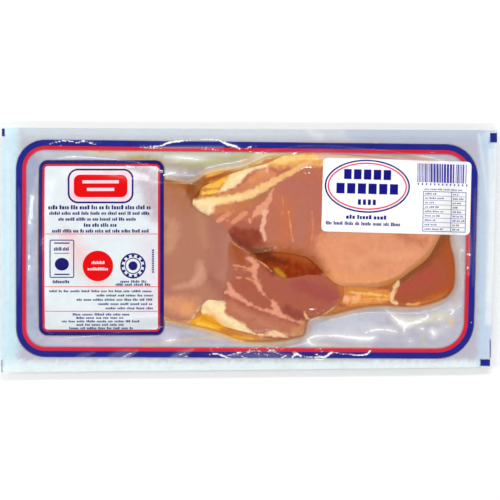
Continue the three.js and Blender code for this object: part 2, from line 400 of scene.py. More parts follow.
def fine_cracks(seed, count, x_range, y_range, lengths, width):
    """Short thin creases with painted white glints, at random places in a box, lying mostly along the
    pack.
    """
    draw = np.random.default_rng(seed)
    cracks = []
    for _ in range(count):
        x = draw.uniform(*x_range)
        y = draw.uniform(*y_range)
        length = draw.uniform(*lengths)
        tilt = draw.normal(0, 0.3)
        points = []
        for share in (-0.5, -0.2, 0.2, 0.5):
            sway = length * share * tilt + draw.uniform(-0.7, 0.7)
            points.append((x + length * share, y + sway, width * draw.uniform(0.4, 1.2)))
        cracks.append((CRACK_RISE, draw.uniform(0.4, 0.9), points))
    return cracks


for crack_box in CRACK_BOXES:
    CREASES_AND_GLINTS += fine_cracks(*crack_box)

# Painted highlights: soft pale sheen streaks along the sealed border, where the film bows a little
BORDER_SHEEN_STREAKS = (
    (0.5, [(126.5, 63.8, 1.0), (130.4, 38.5, 1.5), (132.4, 12, 1.0)]),
    (0.75, [(132.9, 55.0, 2.0), (133.4, 27.5, 3.0), (133.0, 2, 3.4), (131.8, -27.5, 2.4)]),
    (0.35, [(-133.1, 55.0, 0.9), (-132.6, 16.5, 1.6), (-133.1, -27.5, 0.9)]),
    (0.5, [(-78.7, -64.8, 0.6), (-60, -62.0, 1.0), (-51.4, -60.4, 0.6)]),
    (0.35, [(33.6, 65.5, 3.3), (39.1, 62.2, 4.4)]),
)

# Painted highlights: pale sheen streaks that also lie over the printed frame
PRINT_SHEEN_STREAKS = (
    (0.17, [(-75, -62.5, 1.0), (-69, -59, 4.0), (-61.5, -55.5, 1.0)]),
    (0.12, [(-80, -60.5, 1.0), (-73, -57.5, 3.0), (-66, -55, 0.8)]),
    (0.18, [(-45, -60.5, 1.0), (-38.5, -58.0, 3.4), (-30.5, -54.5, 1.0)]),
    (0.10, [(-98, -61.5, 1.0), (-92, -58.5, 3.0), (-85, -56.4, 0.8)]),
    (0.12, [(-14, -58.6, 1.6), (8, -58.2, 4.0), (28, -58.8, 1.6)]),
    (0.22, [(-14, 56.8, 0.8), (-30, 56.6, 1.4), (-56, 56.4, 0.8)]),
    (0.16, [(121.6, 14, 0.8), (121.6, -2, 2.2), (121.0, -14, 1.0)]),
    (0.08, [(-127, 34, 0.8), (-126.4, 10, 1.4), (-127, -20, 0.8)]),
    (0.1, [(124.6, 34, 0.8), (124.4, 10, 1.4), (123.4, -20, 0.8)]),
)


def rounded_corners(corners, radii, arc_steps=14):
    """A closed path round corners given clockwise, with an arc at each, and its inward normals."""
    spots = []
    normals = []
    count = len(corners)
    for k, radius in enumerate(np.broadcast_to(radii, count)):
        before, here, after = (np.array(corners[(k + i) % count], float) for i in (-1, 0, 1))
        come = (before - here) / np.linalg.norm(before - here)
        go = (after - here) / np.linalg.norm(after - here)
        half = math.acos(np.clip(np.dot(come, go), -1, 1)) / 2
        middle = (come + go) / np.linalg.norm(come + go)
        centre = here + middle * radius / math.sin(half)
        start = here + come * radius / math.tan(half) - centre
        sweep = -(math.pi - 2 * half)
        for i in range(arc_steps + 1):
            angle = sweep * i / arc_steps
            turned = np.array([
                start[0] * math.cos(angle) - start[1] * math.sin(angle),
                start[0] * math.sin(angle) + start[1] * math.cos(angle)])
            spots.append(centre + turned)
            normals.append(-turned / radius)
    spots.append(spots[0])
    normals.append(normals[0])
    return np.array(spots), np.array(normals)


def turned_box(centre, size, radius, turn=0.0):
    """Path and inward normals of a rounded box, clockwise from its upper left corner."""
    half_x = size[0] / 2
    half_y = size[1] / 2
    corners = []
    for x, y in ((-half_x, half_y), (half_x, half_y), (half_x, -half_y), (-half_x, -half_y)):
        corners.append((centre[0] + x * math.cos(turn) - y * math.sin(turn),
                        centre[1] + x * math.sin(turn) + y * math.cos(turn)))
    return rounded_corners(corners, radius)


FRAME_PATH, FRAME_NORMALS = rounded_corners(FRAME_CORNERS, FRAME_RADII)
PANEL_PATH, PANEL_NORMALS = turned_box(PANEL_CENTRE, PANEL_SIZE, PANEL_RADIUS)
STICKER_PATH, _ = turned_box(STICKER_CENTRE, STICKER_SIZE, STICKER_RADIUS, STICKER_TURN)
frame_depth = depth_in(GRID_X, GRID_Y, FRAME_PATH)
panel_depth = depth_in(GRID_X, GRID_Y, PANEL_PATH)
sticker_depth = depth_in(GRID_X, GRID_Y, STICKER_PATH)

# The film's slopes are gentler under the stiff printed panel and along the middle rasher's left
# side, by so many millimetres of width, and fade back to the others over a range across the pack
PANEL_FADE = (-60, -42)
MIDDLE_FADE = (-14, 10)
STACK_UNDER_PANEL = 6
LEFT_UNDER_PANEL = 9
MIDDLE_AT_LEFT = 13
SLOPE_UNEVEN = 2.4
# The film's soft waves lean a little, and the muscle's grain shows through in two sizes
LEAN = 0.4
COUNTER_LEAN = 0.3
GRAIN_HEIGHT = 0.12
FINE_GRAIN_HEIGHT = 0.05
# The free film's folds, long and fine
PACK_ENDS = (100, 114)
FOLD_PITCH = 4.2
FOLD_STRETCH = 0.3
FOLD_HEIGHT = 0.24
FINE_FOLD_PITCH = 1.8
FINE_FOLD_STRETCH = 0.6
FINE_FOLD_HEIGHT = 0.06

# Height of the film's two webs
under_panel = 1 - smooth_step(*PANEL_FADE, GRID_X)
middle_left = 1 - smooth_step(*MIDDLE_FADE, GRID_X + LEAN * GRID_Y)
uneven_slope = SLOPE_UNEVEN * soft_noise(GRID_X, GRID_Y, 16, 13)
EXTRA_DRAPE = {
    "stack": STACK_UNDER_PANEL * under_panel + uneven_slope,
    "left": LEFT_UNDER_PANEL * under_panel,
    "middle": MIDDLE_AT_LEFT * middle_left,
}
product = cover("stack", LEVELS["stack"][1])
swell = SWELL_HEIGHT * (np.sin(2 * np.pi * (GRID_X + LEAN * GRID_Y) / SWELL_LENGTH_X)
                        * np.sin(2 * np.pi * (GRID_Y - COUNTER_LEAN * GRID_X) / SWELL_LENGTH_Y))
upper_height = np.full(GRID_X.shape, SEAL_TOP)
for level_name, (level_top, slope, _) in LEVELS.items():
    share = cover(level_name, slope + EXTRA_DRAPE.get(level_name, 0))
    upper_height += (level_top - upper_height) * share
muscle = GRAIN_HEIGHT * soft_noise(GRID_X, GRID_Y, 7, 11)
muscle += FINE_GRAIN_HEIGHT * soft_noise(GRID_X, GRID_Y, 2.6, 12)
calm = smooth_step(-2, 2, panel_depth)
near_hollow = smooth_step(-4, 0, DEPTH["hollow"])
upper_height += (swell + muscle * (1 - calm) * (1 - near_hollow)) * product
under_sticker = smooth_step(-1, 2, sticker_depth)
upper_height += (blurred(upper_height, UNDER_STICKER_BLUR) - upper_height) * under_sticker
meat_ceiling = upper_height - MEAT_CLEARANCE
lower_height = (SEAL_TOP - FILM_GAP) * (1 - product)

# Where the film is free of print and meat, and how it folds there: lengthwise above and below the
# stack, and across at its two ends
in_frame = smooth_step(-0.5, 1.0, frame_depth - FRAME_BLUE_WIDTH - FRAME_RED_WIDTH)
off_meat = 1 - smooth_step(-1.5, 1.5, DEPTH["stack"])
free_film = in_frame * off_meat * (1 - calm)
at_ends = smooth_step(*PACK_ENDS, np.abs(GRID_X))
fold = soft_noise(GRID_X * FOLD_STRETCH, GRID_Y, FOLD_PITCH, 21) * (1 - at_ends)
fold += soft_noise(GRID_X, GRID_Y * FOLD_STRETCH, FOLD_PITCH, 23) * at_ends
fine_fold = soft_noise(GRID_X * FINE_FOLD_STRETCH, GRID_Y, FINE_FOLD_PITCH, 22)
folded = FOLD_HEIGHT * fold + FINE_FOLD_HEIGHT * fine_fold
upper_height += free_film * (1 - under_sticker) * folded
# Painted light: along each crease, a white glint core and a pale glint halo round it
crease_glint = np.zeros(GRID_X.shape)
glint_halo = np.zeros(GRID_X.shape)
for rise, highlight_strength, crease_points in CREASES_AND_GLINTS:
    path = curve_through(crease_points)
    near = near_path(GRID_X, GRID_Y, path, CREASE_REACH)
    gap, at = nearest_on(GRID_X[near], GRID_Y[near], path)
    half = at[:, 2] / 2
    upper_height[near] += rise * np.exp(-(gap / (half + CREASE_EASE)) ** 2)
    core = np.clip(0.5 + (CORE_SHARE * half + CORE_MARGIN - gap) / CORE_FEATHER, 0, 1)
    crease_glint[near] = np.maximum(crease_glint[near], core * (0.6 + 0.4 * highlight_strength))
    glint_halo[near] = np.maximum(glint_halo[near], highlight_strength * half * np.exp(-(gap / GLINT_HALO_WIDTH) ** 2))


def sheen_of(streaks):
    """How strongly a set of painted soft highlight streaks shows, over the whole pack."""
    haze = np.zeros(GRID_X.shape)
    for highlight_strength, streak_points in streaks:
        gap, at = nearest_on(GRID_X, GRID_Y, curve_through(streak_points))
        haze = np.maximum(haze, highlight_strength * (1 - smooth_step(0, at[..., 2], gap)))
    return haze


# Painted sheen: how strongly the pale highlight streaks show along the border and over the print
border_sheen = sheen_of(BORDER_SHEEN_STREAKS)
print_sheen = sheen_of(PRINT_SHEEN_STREAKS)


def deselect_all():
    if bpy.context.object and bpy.context.object.mode != "OBJECT":
        bpy.ops.object.mode_set(mode="OBJECT")
    bpy.ops.object.select_all(action="DESELECT")


def pick_only(*objects):
    deselect_all()
    for obj in objects:
        obj.select_set(True)
    bpy.context.view_layer.objects.active = objects[0]


def positions(obj):
    co = np.empty(len(obj.data.vertices) * 3)
    obj.data.vertices.foreach_get("co", co)
    return co.reshape(-1, 3)


def set_positions(obj, co):
    obj.data.vertices.foreach_set("co", np.ascontiguousarray(co, float).ravel())
    obj.data.update()


def unit_grid(name, columns, rows):
    """A flat grid with its coordinates from 0 to 1 both ways."""
    deselect_all()
    bpy.ops.mesh.primitive_grid_add(
        x_subdivisions=columns, y_subdivisions=rows, size=1, location=(0, 0, 0))
    obj = bpy.context.object
    obj.name = name
    obj.data.name = name
    co = positions(obj)
    return obj, co[:, 0] + 0.5, co[:, 1] + 0.5


def set_numbers(obj, name, values):
    made = obj.data.attributes.new(name, "FLOAT", "POINT")
    made.data.foreach_set("value", np.ascontiguousarray(values, np.float32))


def set_colours(obj, name, colours):
    made = obj.data.color_attributes.new(name, "FLOAT_COLOR", "POINT")
    rgba = np.ones((len(colours), 4), np.float32)
    rgba[:, :3] = colours
    made.data.foreach_set("color", rgba.ravel())


def edge_use(mesh):
    """How many faces meet at each edge."""
    loops = np.empty(len(mesh.loops), np.int64)
    mesh.loops.foreach_get("edge_index", loops)
    return np.bincount(loops, minlength=len(mesh.edges))


def rim_vertices(mesh):
    ends = np.empty(len(mesh.edges) * 2, np.int64)
    mesh.edges.foreach_get("vertices", ends)
    return np.unique(ends.reshape(-1, 2)[edge_use(mesh) == 1])


def film_spot(u, v):
    corner = {name: np.array(value) for name, value in PACK_CORNERS.items()}
    u = u[:, None]
    v = v[:, None]
    low = corner["bottom_left"] * (1 - u) + corner["bottom_right"] * u
    high = corner["top_left"] * (1 - u) + corner["top_right"] * u
    spot = low * (1 - v) + high * v
    return spot[:, 0], spot[:, 1]


def make_film_bag(upper_material, lower_material):
    """The two webs, sealed together at their cut edge, as one closed bag round the meat."""
    columns = 2 * round(PACK_LENGTH / FILM_PITCH / 2)
    rows = 2 * round(PACK_WIDTH / FILM_PITCH / 2)
    upper, u, v = unit_grid("film_bag", columns, rows)
    x, y = film_spot(u, v)
    set_positions(upper, np.column_stack([x, y, read_field(upper_height, x, y)]) * MM)
    upper.data.materials.append(upper_material)
    lower, u, v = unit_grid("lower_web", columns // 2, rows // 2)
    x, y = film_spot(u, v)
    set_positions(lower, np.column_stack([x, y, read_field(lower_height, x, y)]) * MM)
    lower.data.materials.append(lower_material)
    pick_only(lower)
    bpy.ops.object.mode_set(mode="EDIT")
    bpy.ops.mesh.select_all(action="SELECT")
    bpy.ops.mesh.flip_normals()
    bpy.ops.object.mode_set(mode="OBJECT")
    upper_count = len(upper.data.vertices)
    pick_only(upper, lower)
    bpy.ops.object.join()
    bpy.ops.object.mode_set(mode="EDIT")
    bpy.ops.mesh.select_mode(type="EDGE")
    bpy.ops.mesh.select_all(action="DESELECT")
    bpy.ops.object.mode_set(mode="OBJECT")
    upper.data.edges.foreach_set("select", edge_use(upper.data) == 1)
    bpy.ops.object.mode_set(mode="EDIT")
    bpy.ops.mesh.bridge_edge_loops()
    bpy.ops.object.mode_set(mode="OBJECT")
    bpy.ops.object.shade_smooth_by_angle(angle=math.radians(60))
    co = positions(upper) / MM
    paint_film(upper, co[:, 0], co[:, 1], np.arange(len(co)) < upper_count)
    return upper


# Film: how much each web veils what is behind it, how strongly painted glint halos, painted fold light
# and shade and painted sheen streaks tint it, and how much of the colour seen over a white floor comes
# from the floor and from the two webs
VEIL_ON_MEAT = 0.006
VEIL_ON_PRINT = 0.004
VEIL_UPPER = 0.72
VEIL_LOWER = 0.4
VEIL_LOWER_MEAT = 0.10
VEIL_RIM = 0.9
VEIL_SHEEN_STREAK = 0.85
GLINT_HALO_BRIGHT = 0.8
FOLD_PAINTED_LIGHT = 0.16
FOLD_SHADE = 0.5
FINE_FOLD_SHARE = 0.6
SHEEN_TINT_GAIN = 3
MARK_MARGIN = 0.6
FLOOR_SHARE = 0.2
FILM_SHARE = 0.65
LEAST_TINT = 0.02


def seen_as(red, green, blue):
    """The film's own tint, for the colour that both webs show over a white floor."""
    return tuple(min(max((value - FLOOR_SHARE) / FILM_SHARE, LEAST_TINT), 1.0)
                 for value in tone(red, green, blue))


FREE_FILM = seen_as(200, 197, 207)
# Painted light: the warm glow of the meat on the film just outside it, and the white of the crease
# glints
MEAT_GLOW_FILM = seen_as(224, 196, 166)
GLINT_WHITE = (1.0, 1.0, 1.0)
# Painted sheen: the pale tint of the highlight streaks over print
SHEEN_ON_PRINT = (0.86, 0.88, 0.95)
BRINE = tone(200, 130, 76)


def stroke(colour, strength, soft, points, rag=1.0):
    return ("stroke", colour, strength, soft, points, rag)


def patch(colour, strength, soft, points, rag=1.0):
    return ("patch", colour, strength, soft, points, rag)


def paint(x, y, base, marks, lie=(0.55, 1.0), mottle=0.35):
    """The colour at each point: a base colour, with strokes and patches laid over it in order. Their
    edges wander, and blotches and fibres mottle the whole."""
    colours = np.tile(base, (len(x), 1))
    blotch = soft_noise(x, y, 9, 51) + 0.7 * soft_noise(x, y, 4, 52)
    fibre = soft_noise(x / lie[0], y / lie[1], 2.4, 55) + 0.5 * soft_noise(x, y, 1.2, 56)
    wander = 0.5 * soft_noise(x, y, 1.9, 53) + 0.35 * soft_noise(x, y, 0.95, 54)
    patchy = np.clip(0.94 + 0.12 * soft_noise(x, y, 1.7, 57), 0, 1)
    for kind, colour, strength, soft, points, rag in marks:
        path = curve_through(points, closed=kind == "patch", steps=6)
        reach = 4 + soft + (path[:, 2].max() if path.shape[1] > 2 else 0)
        near = near_path(x, y, path, reach)
        if not near.any():
            continue
        if kind == "stroke":
            gap, at = nearest_on(x[near], y[near], path)
            depth = at[:, 2] / 2 - gap
        else:
            depth = depth_in(x[near], y[near], path)
        depth = depth + wander[near] * rag * (0.6 + 0.5 * soft)
        share = strength * smooth_step(-soft, soft, depth) * patchy[near]
        colours[near] = mixed(colours[near], colour, share)
    warmth = np.outer(blotch, (0.035, 0.045, 0.06)) + np.outer(fibre, (0.02, 0.03, 0.04))
    return np.clip(colours * (1 + mottle * warmth), 0, 1)


# What the film shows where it is free of meat and print, and on its sealed border
FILM_MARKS = [
    stroke(seen_as(209, 230, 243), 1.0, 3, [(-134, 66, 14), (-134, -66, 14)]),
    stroke(seen_as(205, 212, 217), 1.0, 2, [(-120, 67, 12), (0, 67, 12), (60, 66, 12)]),
    stroke(seen_as(192, 201, 213), 1.0, 2, [(60, 66, 12), (139, 65, 12)]),
    stroke(seen_as(226, 236, 245), 1.0, 2, [(-130, -67, 12), (0, -67, 12), (139, -67, 12)]),
    stroke(seen_as(202, 216, 230), 1.0, 2, [(134, 60, 14), (133, -62, 14)]),
    stroke(seen_as(230, 241, 247), 0.8, 1.5, [(136.5, 62, 4), (134.5, 0, 4), (132, -40, 4)]),
    patch(FREE_FILM, 1.0, 1.5, [
        (-118, 56), (0, 55), (110, 54), (121, 40), (121, -40), (112, -54), (0, -54), (-118, -54),
        (-123, -40), (-123, 40)]),
    stroke(seen_as(183, 189, 208), 1.0, 2, [(-120, 48, 9), (-120, -50, 9)]),
    stroke(seen_as(204, 208, 212), 0.8, 1.5, [(-116, 53.4, 5), (-96, 53.2, 5), (-80, 53.6, 4)]),
    stroke(seen_as(226, 216, 170), 0.6, 1.0, [
        (-93, 55.2, 1.4), (-84, 53.8, 1.6), (-73, 52.0, 1.6), (-60, 51.4, 1.4), (-50.3, 49.6, 1.2)]),
    stroke(seen_as(206, 205, 190), 0.9, 2, [
        (-70, 54.2, 4), (-46, 53.4, 6), (-20, 52.6, 7), (4, 54, 4), (22, 55.4, 2)]),
    stroke(seen_as(190, 180, 165), 0.85, 2, [
        (-70, 50.4, 3), (-50, 48.2, 5), (-36, 45.6, 7), (-26, 45.4, 5)]),
    stroke(seen_as(208, 180, 128), 0.75, 0.9, [
        (-82, 54.3, 1.0), (-67.6, 52.2, 1.6), (-54, 49.8, 1.8), (-45, 48.4, 1.4)]),
    # Painted highlight: a pale sheen along the crease glint above the stack
    stroke(seen_as(236, 236, 228), 0.8, 1.2, [
        (-46, 51.6, 1.6), (-36, 50.8, 3), (-27, 49.4, 2.4), (-14, 48.8, 1.4)]),
    stroke(seen_as(212, 206, 154), 0.7, 0.8, [
        (-44, 48.7, 1.0), (-30, 48.2, 1.2), (-14, 47.6, 1.0), (-4, 48.4, 1.0)]),
    stroke(seen_as(199, 197, 158), 0.85, 1.6, [
        (-36, 48.0, 3), (-24, 47.8, 4), (-12, 49.6, 4.4), (0, 52.0, 3.4), (6, 54, 2)]),
    stroke(seen_as(226, 200, 164), 0.85, 1.5, [
        (-4, 48.8, 2), (2, 50.8, 3), (10, 54.0, 3.4), (26, 55.6, 3)]),
    stroke(seen_as(176, 150, 112), 0.6, 1.5, [(-47, 40.2, 2.4), (-36, 39.0, 2.6), (-27, 40.2, 2)]),
    stroke(seen_as(200, 190, 160), 0.6, 1.5, [(0, 51, 2), (12, 52.8, 1.4)]),
    stroke(seen_as(216, 186, 190), 1.0, 2, [(30, 56.4, 5), (60, 55.6, 6), (96, 53.4, 6)]),
    stroke(seen_as(213, 203, 198), 0.7, 2, [(114, 14, 4), (116, 0, 4), (117, -22, 5), (113, -30, 5)]),
    stroke(seen_as(205, 202, 220), 0.9, 2, [
        (-110, -51.5, 5), (-70, -51, 5), (-52, -49, 6), (-40, -46, 5)]),
    stroke(seen_as(228, 206, 172), 0.75, 0.8, [
        (-58.8, -52.3, 1.2), (-43.4, -50.8, 1.4), (-27.9, -48.6, 1.4), (-12.5, -48.9, 1.6),
        (-2, -52, 1.6)]),
    stroke(seen_as(206, 192, 170), 0.7, 1.4, [(-2, -52.6, 2), (12, -52.4, 2), (24, -51.8, 2.4)]),
    stroke(seen_as(210, 212, 222), 0.95, 3, [(40, -42, 8), (58, -40, 10), (72, -37, 6)]),
    stroke(seen_as(196, 194, 206), 0.8, 2, [
        (42, -50.8, 3), (60, -51.8, 3.4), (80, -51.5, 3.4), (100, -51, 4)]),
    stroke(seen_as(234, 214, 192), 0.7, 0.9, [(36, -51.6, 1.2), (50, -52.6, 1.6), (66, -53.0, 1.4)]),
    stroke(seen_as(222, 218, 196), 0.8, 2, [
        (80, -37.2, 4), (88, -40, 6), (97, -38.6, 4), (106, -36, 6)]),
    stroke(seen_as(230, 206, 164), 0.7, 1.4, [(109.5, -38.4, 2.6), (112.5, -40.6, 3)]),
    stroke(seen_as(214, 214, 160), 0.6, 1.0, [(94.8, -47, 1.2), (97.4, -52.4, 1.6)]),
]


# The brine's colours at the stack's rim, where the film clings to it
RIM_MARKS = [
    stroke(tone(174, 84, 30), 1.0, 1.5, [
        (112, 36, 5), (114, 21, 5), (111, 6.5, 5), (113.5, -6.5, 5), (113, -20.5, 5),
        (108.5, -26.5, 5)]),
    stroke(tone(204, 128, 62), 1.0, 1.5, [
        (105, -28, 4), (94.5, -31.5, 5), (67, -31.5, 5), (47, -36, 5), (33.5, -39, 5)]),
    stroke(tone(190, 142, 100), 1.0, 1.0, [(33, -41, 4), (31, -47, 4), (22, -50, 4)]),
    stroke(tone(190, 116, 52), 1.0, 1.5, [(22, -50, 5), (7, -51, 5), (-5, -50, 4)]),
    stroke(tone(240, 174, 56), 1.0, 1.5, [(-5, -50, 4), (-18.5, -45.5, 5), (-32.5, -42, 5)]),
    stroke(tone(232, 170, 100), 1.0, 1.5, [
        (-34, -41.6, 4), (-49, -39, 5), (-82, -41, 5), (-104, -42, 5)]),
    stroke(tone(164, 106, 56), 1.0, 1.5, [
        (-104, 45, 5), (-76.5, 44.5, 5), (-47.5, 39.5, 5), (-31.5, 37.5, 5)]),
    stroke(tone(170, 120, 76), 1.0, 1.0, [(-31, 37.8, 4), (-26, 40.6, 4)]),
    stroke(tone(242, 190, 88), 1.0, 0.8, [(-22.6, 42.5, 4), (-18, 43.6, 4), (-13, 44.8, 3)]),
    stroke(tone(232, 208, 156), 1.0, 1.0, [(-10, 45.4, 4), (-2, 47, 4), (10.5, 52.5, 4), (24, 53.6, 4)]),
    stroke(tone(212, 146, 96), 1.0, 1.5, [(26, 53.7, 4), (42, 54, 5), (50, 53, 5)]),
    stroke(tone(212, 174, 174), 1.0, 1.5, [(46, 54, 5), (83, 50.5, 6), (104, 46, 6)]),
]


def mark_cover():
    """1 over each register mark and 0 elsewhere."""
    cover_all = np.zeros(GRID_X.shape)
    for x, y, width, height in EDGE_MARKS:
        across = np.abs(GRID_X - x) < width / 2 + MARK_MARGIN
        along = np.abs(GRID_Y - y) < height / 2 + MARK_MARGIN
        cover_all[across & along] = 1
    return cover_all


def paint_film(film, x, y, on_upper):
    """Each point's veil, tint and share of painted crease glint. The tint carries painted light and
    shade: fold shading, glint halos, sheen streaks and the meat's glow beside it.
    """
    from_meat = read_field(DEPTH["stack"], x, y)
    meat = smooth_step(-0.8, 1.2, from_meat)
    on_frame = smooth_step(-MARK_MARGIN, -0.1, frame_depth) * (1 - in_frame)
    on_panel = smooth_step(-MARK_MARGIN, -0.1, panel_depth)
    printed = read_field(np.maximum(np.maximum(on_frame, on_panel), mark_cover()), x, y)
    # Painted light and shade: the free film's folds lighten and darken its tint, and the glint halos
    # lighten it
    folds = read_field(fold * free_film, x, y)
    folds += FINE_FOLD_SHARE * read_field(fine_fold * free_film, x, y)
    near_glint = read_field(glint_halo * (in_frame * off_meat), x, y)
    painted_light_and_shade = np.clip(near_glint * GLINT_HALO_BRIGHT + FOLD_PAINTED_LIGHT * folds, -1, 1)
    sheen_streak = read_field(border_sheen, x, y)
    upper_veil = VEIL_UPPER + (VEIL_ON_MEAT - VEIL_UPPER) * meat
    upper_veil += (VEIL_ON_PRINT - upper_veil) * printed
    # Painted sheen: the border's highlight streaks make the film paler and less clear
    upper_veil = np.maximum(upper_veil, sheen_streak * VEIL_SHEEN_STREAK * (1 - printed))
    rim = smooth_step(-1.4, -0.4, from_meat) * (1 - smooth_step(0.3, 2.0, from_meat)) * (1 - printed)
    upper_veil = np.maximum(upper_veil, VEIL_RIM * rim)
    # Painted sheen of the highlight streaks over the print
    sheen_over_print = read_field(print_sheen, x, y)
    upper_veil = np.maximum(upper_veil, sheen_over_print)
    lower_veil = VEIL_LOWER + (VEIL_LOWER_MEAT - VEIL_LOWER) * meat
    tint = paint(x, y, FREE_FILM, FILM_MARKS, (1.0, 0.6), 0.25)
    # Painted glow of the meat on the film just outside its rim
    meat_glow = 0.7 * np.exp(-((from_meat + 0.7) / 1.2) ** 2) * (1 - printed)
    tint = mixed(tint, MEAT_GLOW_FILM, meat_glow)
    tint = mixed(tint, paint(x, y, BRINE, RIM_MARKS), smooth_step(-1.0, 0.7, from_meat))
    # Painted fold shade, then the white of the painted glints and sheen streaks
    tint = tint * (1 + FOLD_SHADE * np.minimum(painted_light_and_shade, 0))[:, None]
    tint = mixed(tint, GLINT_WHITE, np.clip(np.maximum(painted_light_and_shade, sheen_streak), 0, 1) * on_upper)
    tint = mixed(tint, SHEEN_ON_PRINT, np.clip(sheen_over_print * SHEEN_TINT_GAIN, 0, 1) * on_upper * printed)
    set_numbers(film, "veil", np.where(on_upper, upper_veil, lower_veil))
    set_numbers(film, "crease_glint", np.where(on_upper, read_field(crease_glint, x, y), 0))
    set_colours(film, "tint", tint)


# What each rasher shows from above: a base colour, then its fat, marbling, rims, painted shadows and
# painted highlights
LEFT_MARKS = [
    stroke(tone(168, 100, 30), 0.9, 3.0, [
        (-60, 42.4, 7), (-47.3, 38.4, 7), (-38, 36.3, 6), (-31.4, 35.2, 5)]),
    stroke(tone(176, 112, 74), 0.6, 4.0, [(-46, 30, 8), (-38, 28, 8), (-34, 22, 6)]),
    # Painted shadow: dark brown on the left rasher round the top rasher's tip and under the folded gold
    # fat
    patch(tone(160, 84, 22), 0.95, 1.4, [(-33, 40.6), (-24, 39.6), (-16, 36), (-20, 32), (-31, 29)]),
    stroke(tone(144, 74, 24), 0.95, 1.8, [(-32.0, 36.6, 5.6), (-31.6, 31.4, 5.0), (-30.8, 26.5, 3.0)]),
    stroke(tone(206, 152, 124), 0.75, 2.6, [
        (-45, 17, 3), (-42, 13.7, 6), (-42.6, 7, 6.6), (-44.4, 1, 5)]),
    stroke(tone(198, 140, 108), 0.45, 2.5, [(-28, 20, 3), (-26, 12, 5), (-24, 4, 5)]),
    stroke(tone(178, 112, 98), 0.75, 4.0, [(-20, 12, 6), (-16.5, 2, 9), (-19.4, -9, 10)]),
    stroke(tone(166, 98, 84), 0.75, 3.0, [(-22, -15, 5), (-17, -20, 7), (-14, -24, 6)]),
    stroke(tone(184, 112, 104), 0.6, 2.6, [(-46, -8, 4), (-46, -20, 4), (-45, -30, 4)]),
    stroke(tone(222, 152, 112), 0.95, 3.4, [(-46, -29, 6), (-38, -30.5, 10), (-31.2, -31, 8)]),
    stroke(tone(232, 164, 110), 0.7, 2.0, [(-35, -33, 5), (-31, -35.6, 4)]),
    stroke(tone(208, 148, 124), 0.9, 1.8, [
        (-27.4, -8.0, 4), (-26.4, -12.6, 6.4), (-28.6, -17.0, 6), (-34.1, -19.6, 3.4),
        (-40.6, -20.6, 2.4)]),
    stroke(tone(216, 158, 136), 0.6, 1.0, [(-26.6, -9.6, 2), (-27.2, -13.6, 2.8), (-31, -18.2, 2)]),
    stroke(tone(240, 176, 92), 0.95, 0.7, [
        (-104, -41.2, 2), (-82, -40.0, 2), (-60, -38.0, 2), (-48, -37.6, 2), (-38.7, -40.0, 2.2),
        (-33, -40.2, 1.8)]),
    stroke(tone(244, 190, 120), 0.9, 0.5, [
        (-34.6, -40.6, 1.2), (-31.2, -38.6, 1.1), (-29, -34.4, 0.9), (-26.8, -30.4, 0.8)]),
    # Painted shadow: an olive-brown line along the top rasher's lower left edge
    stroke(tone(180, 120, 62), 0.7, 0.9, [(-30.4, 24.2, 1.2), (-26, 20.8, 1.4), (-22, 18.2, 1.0)]),
]
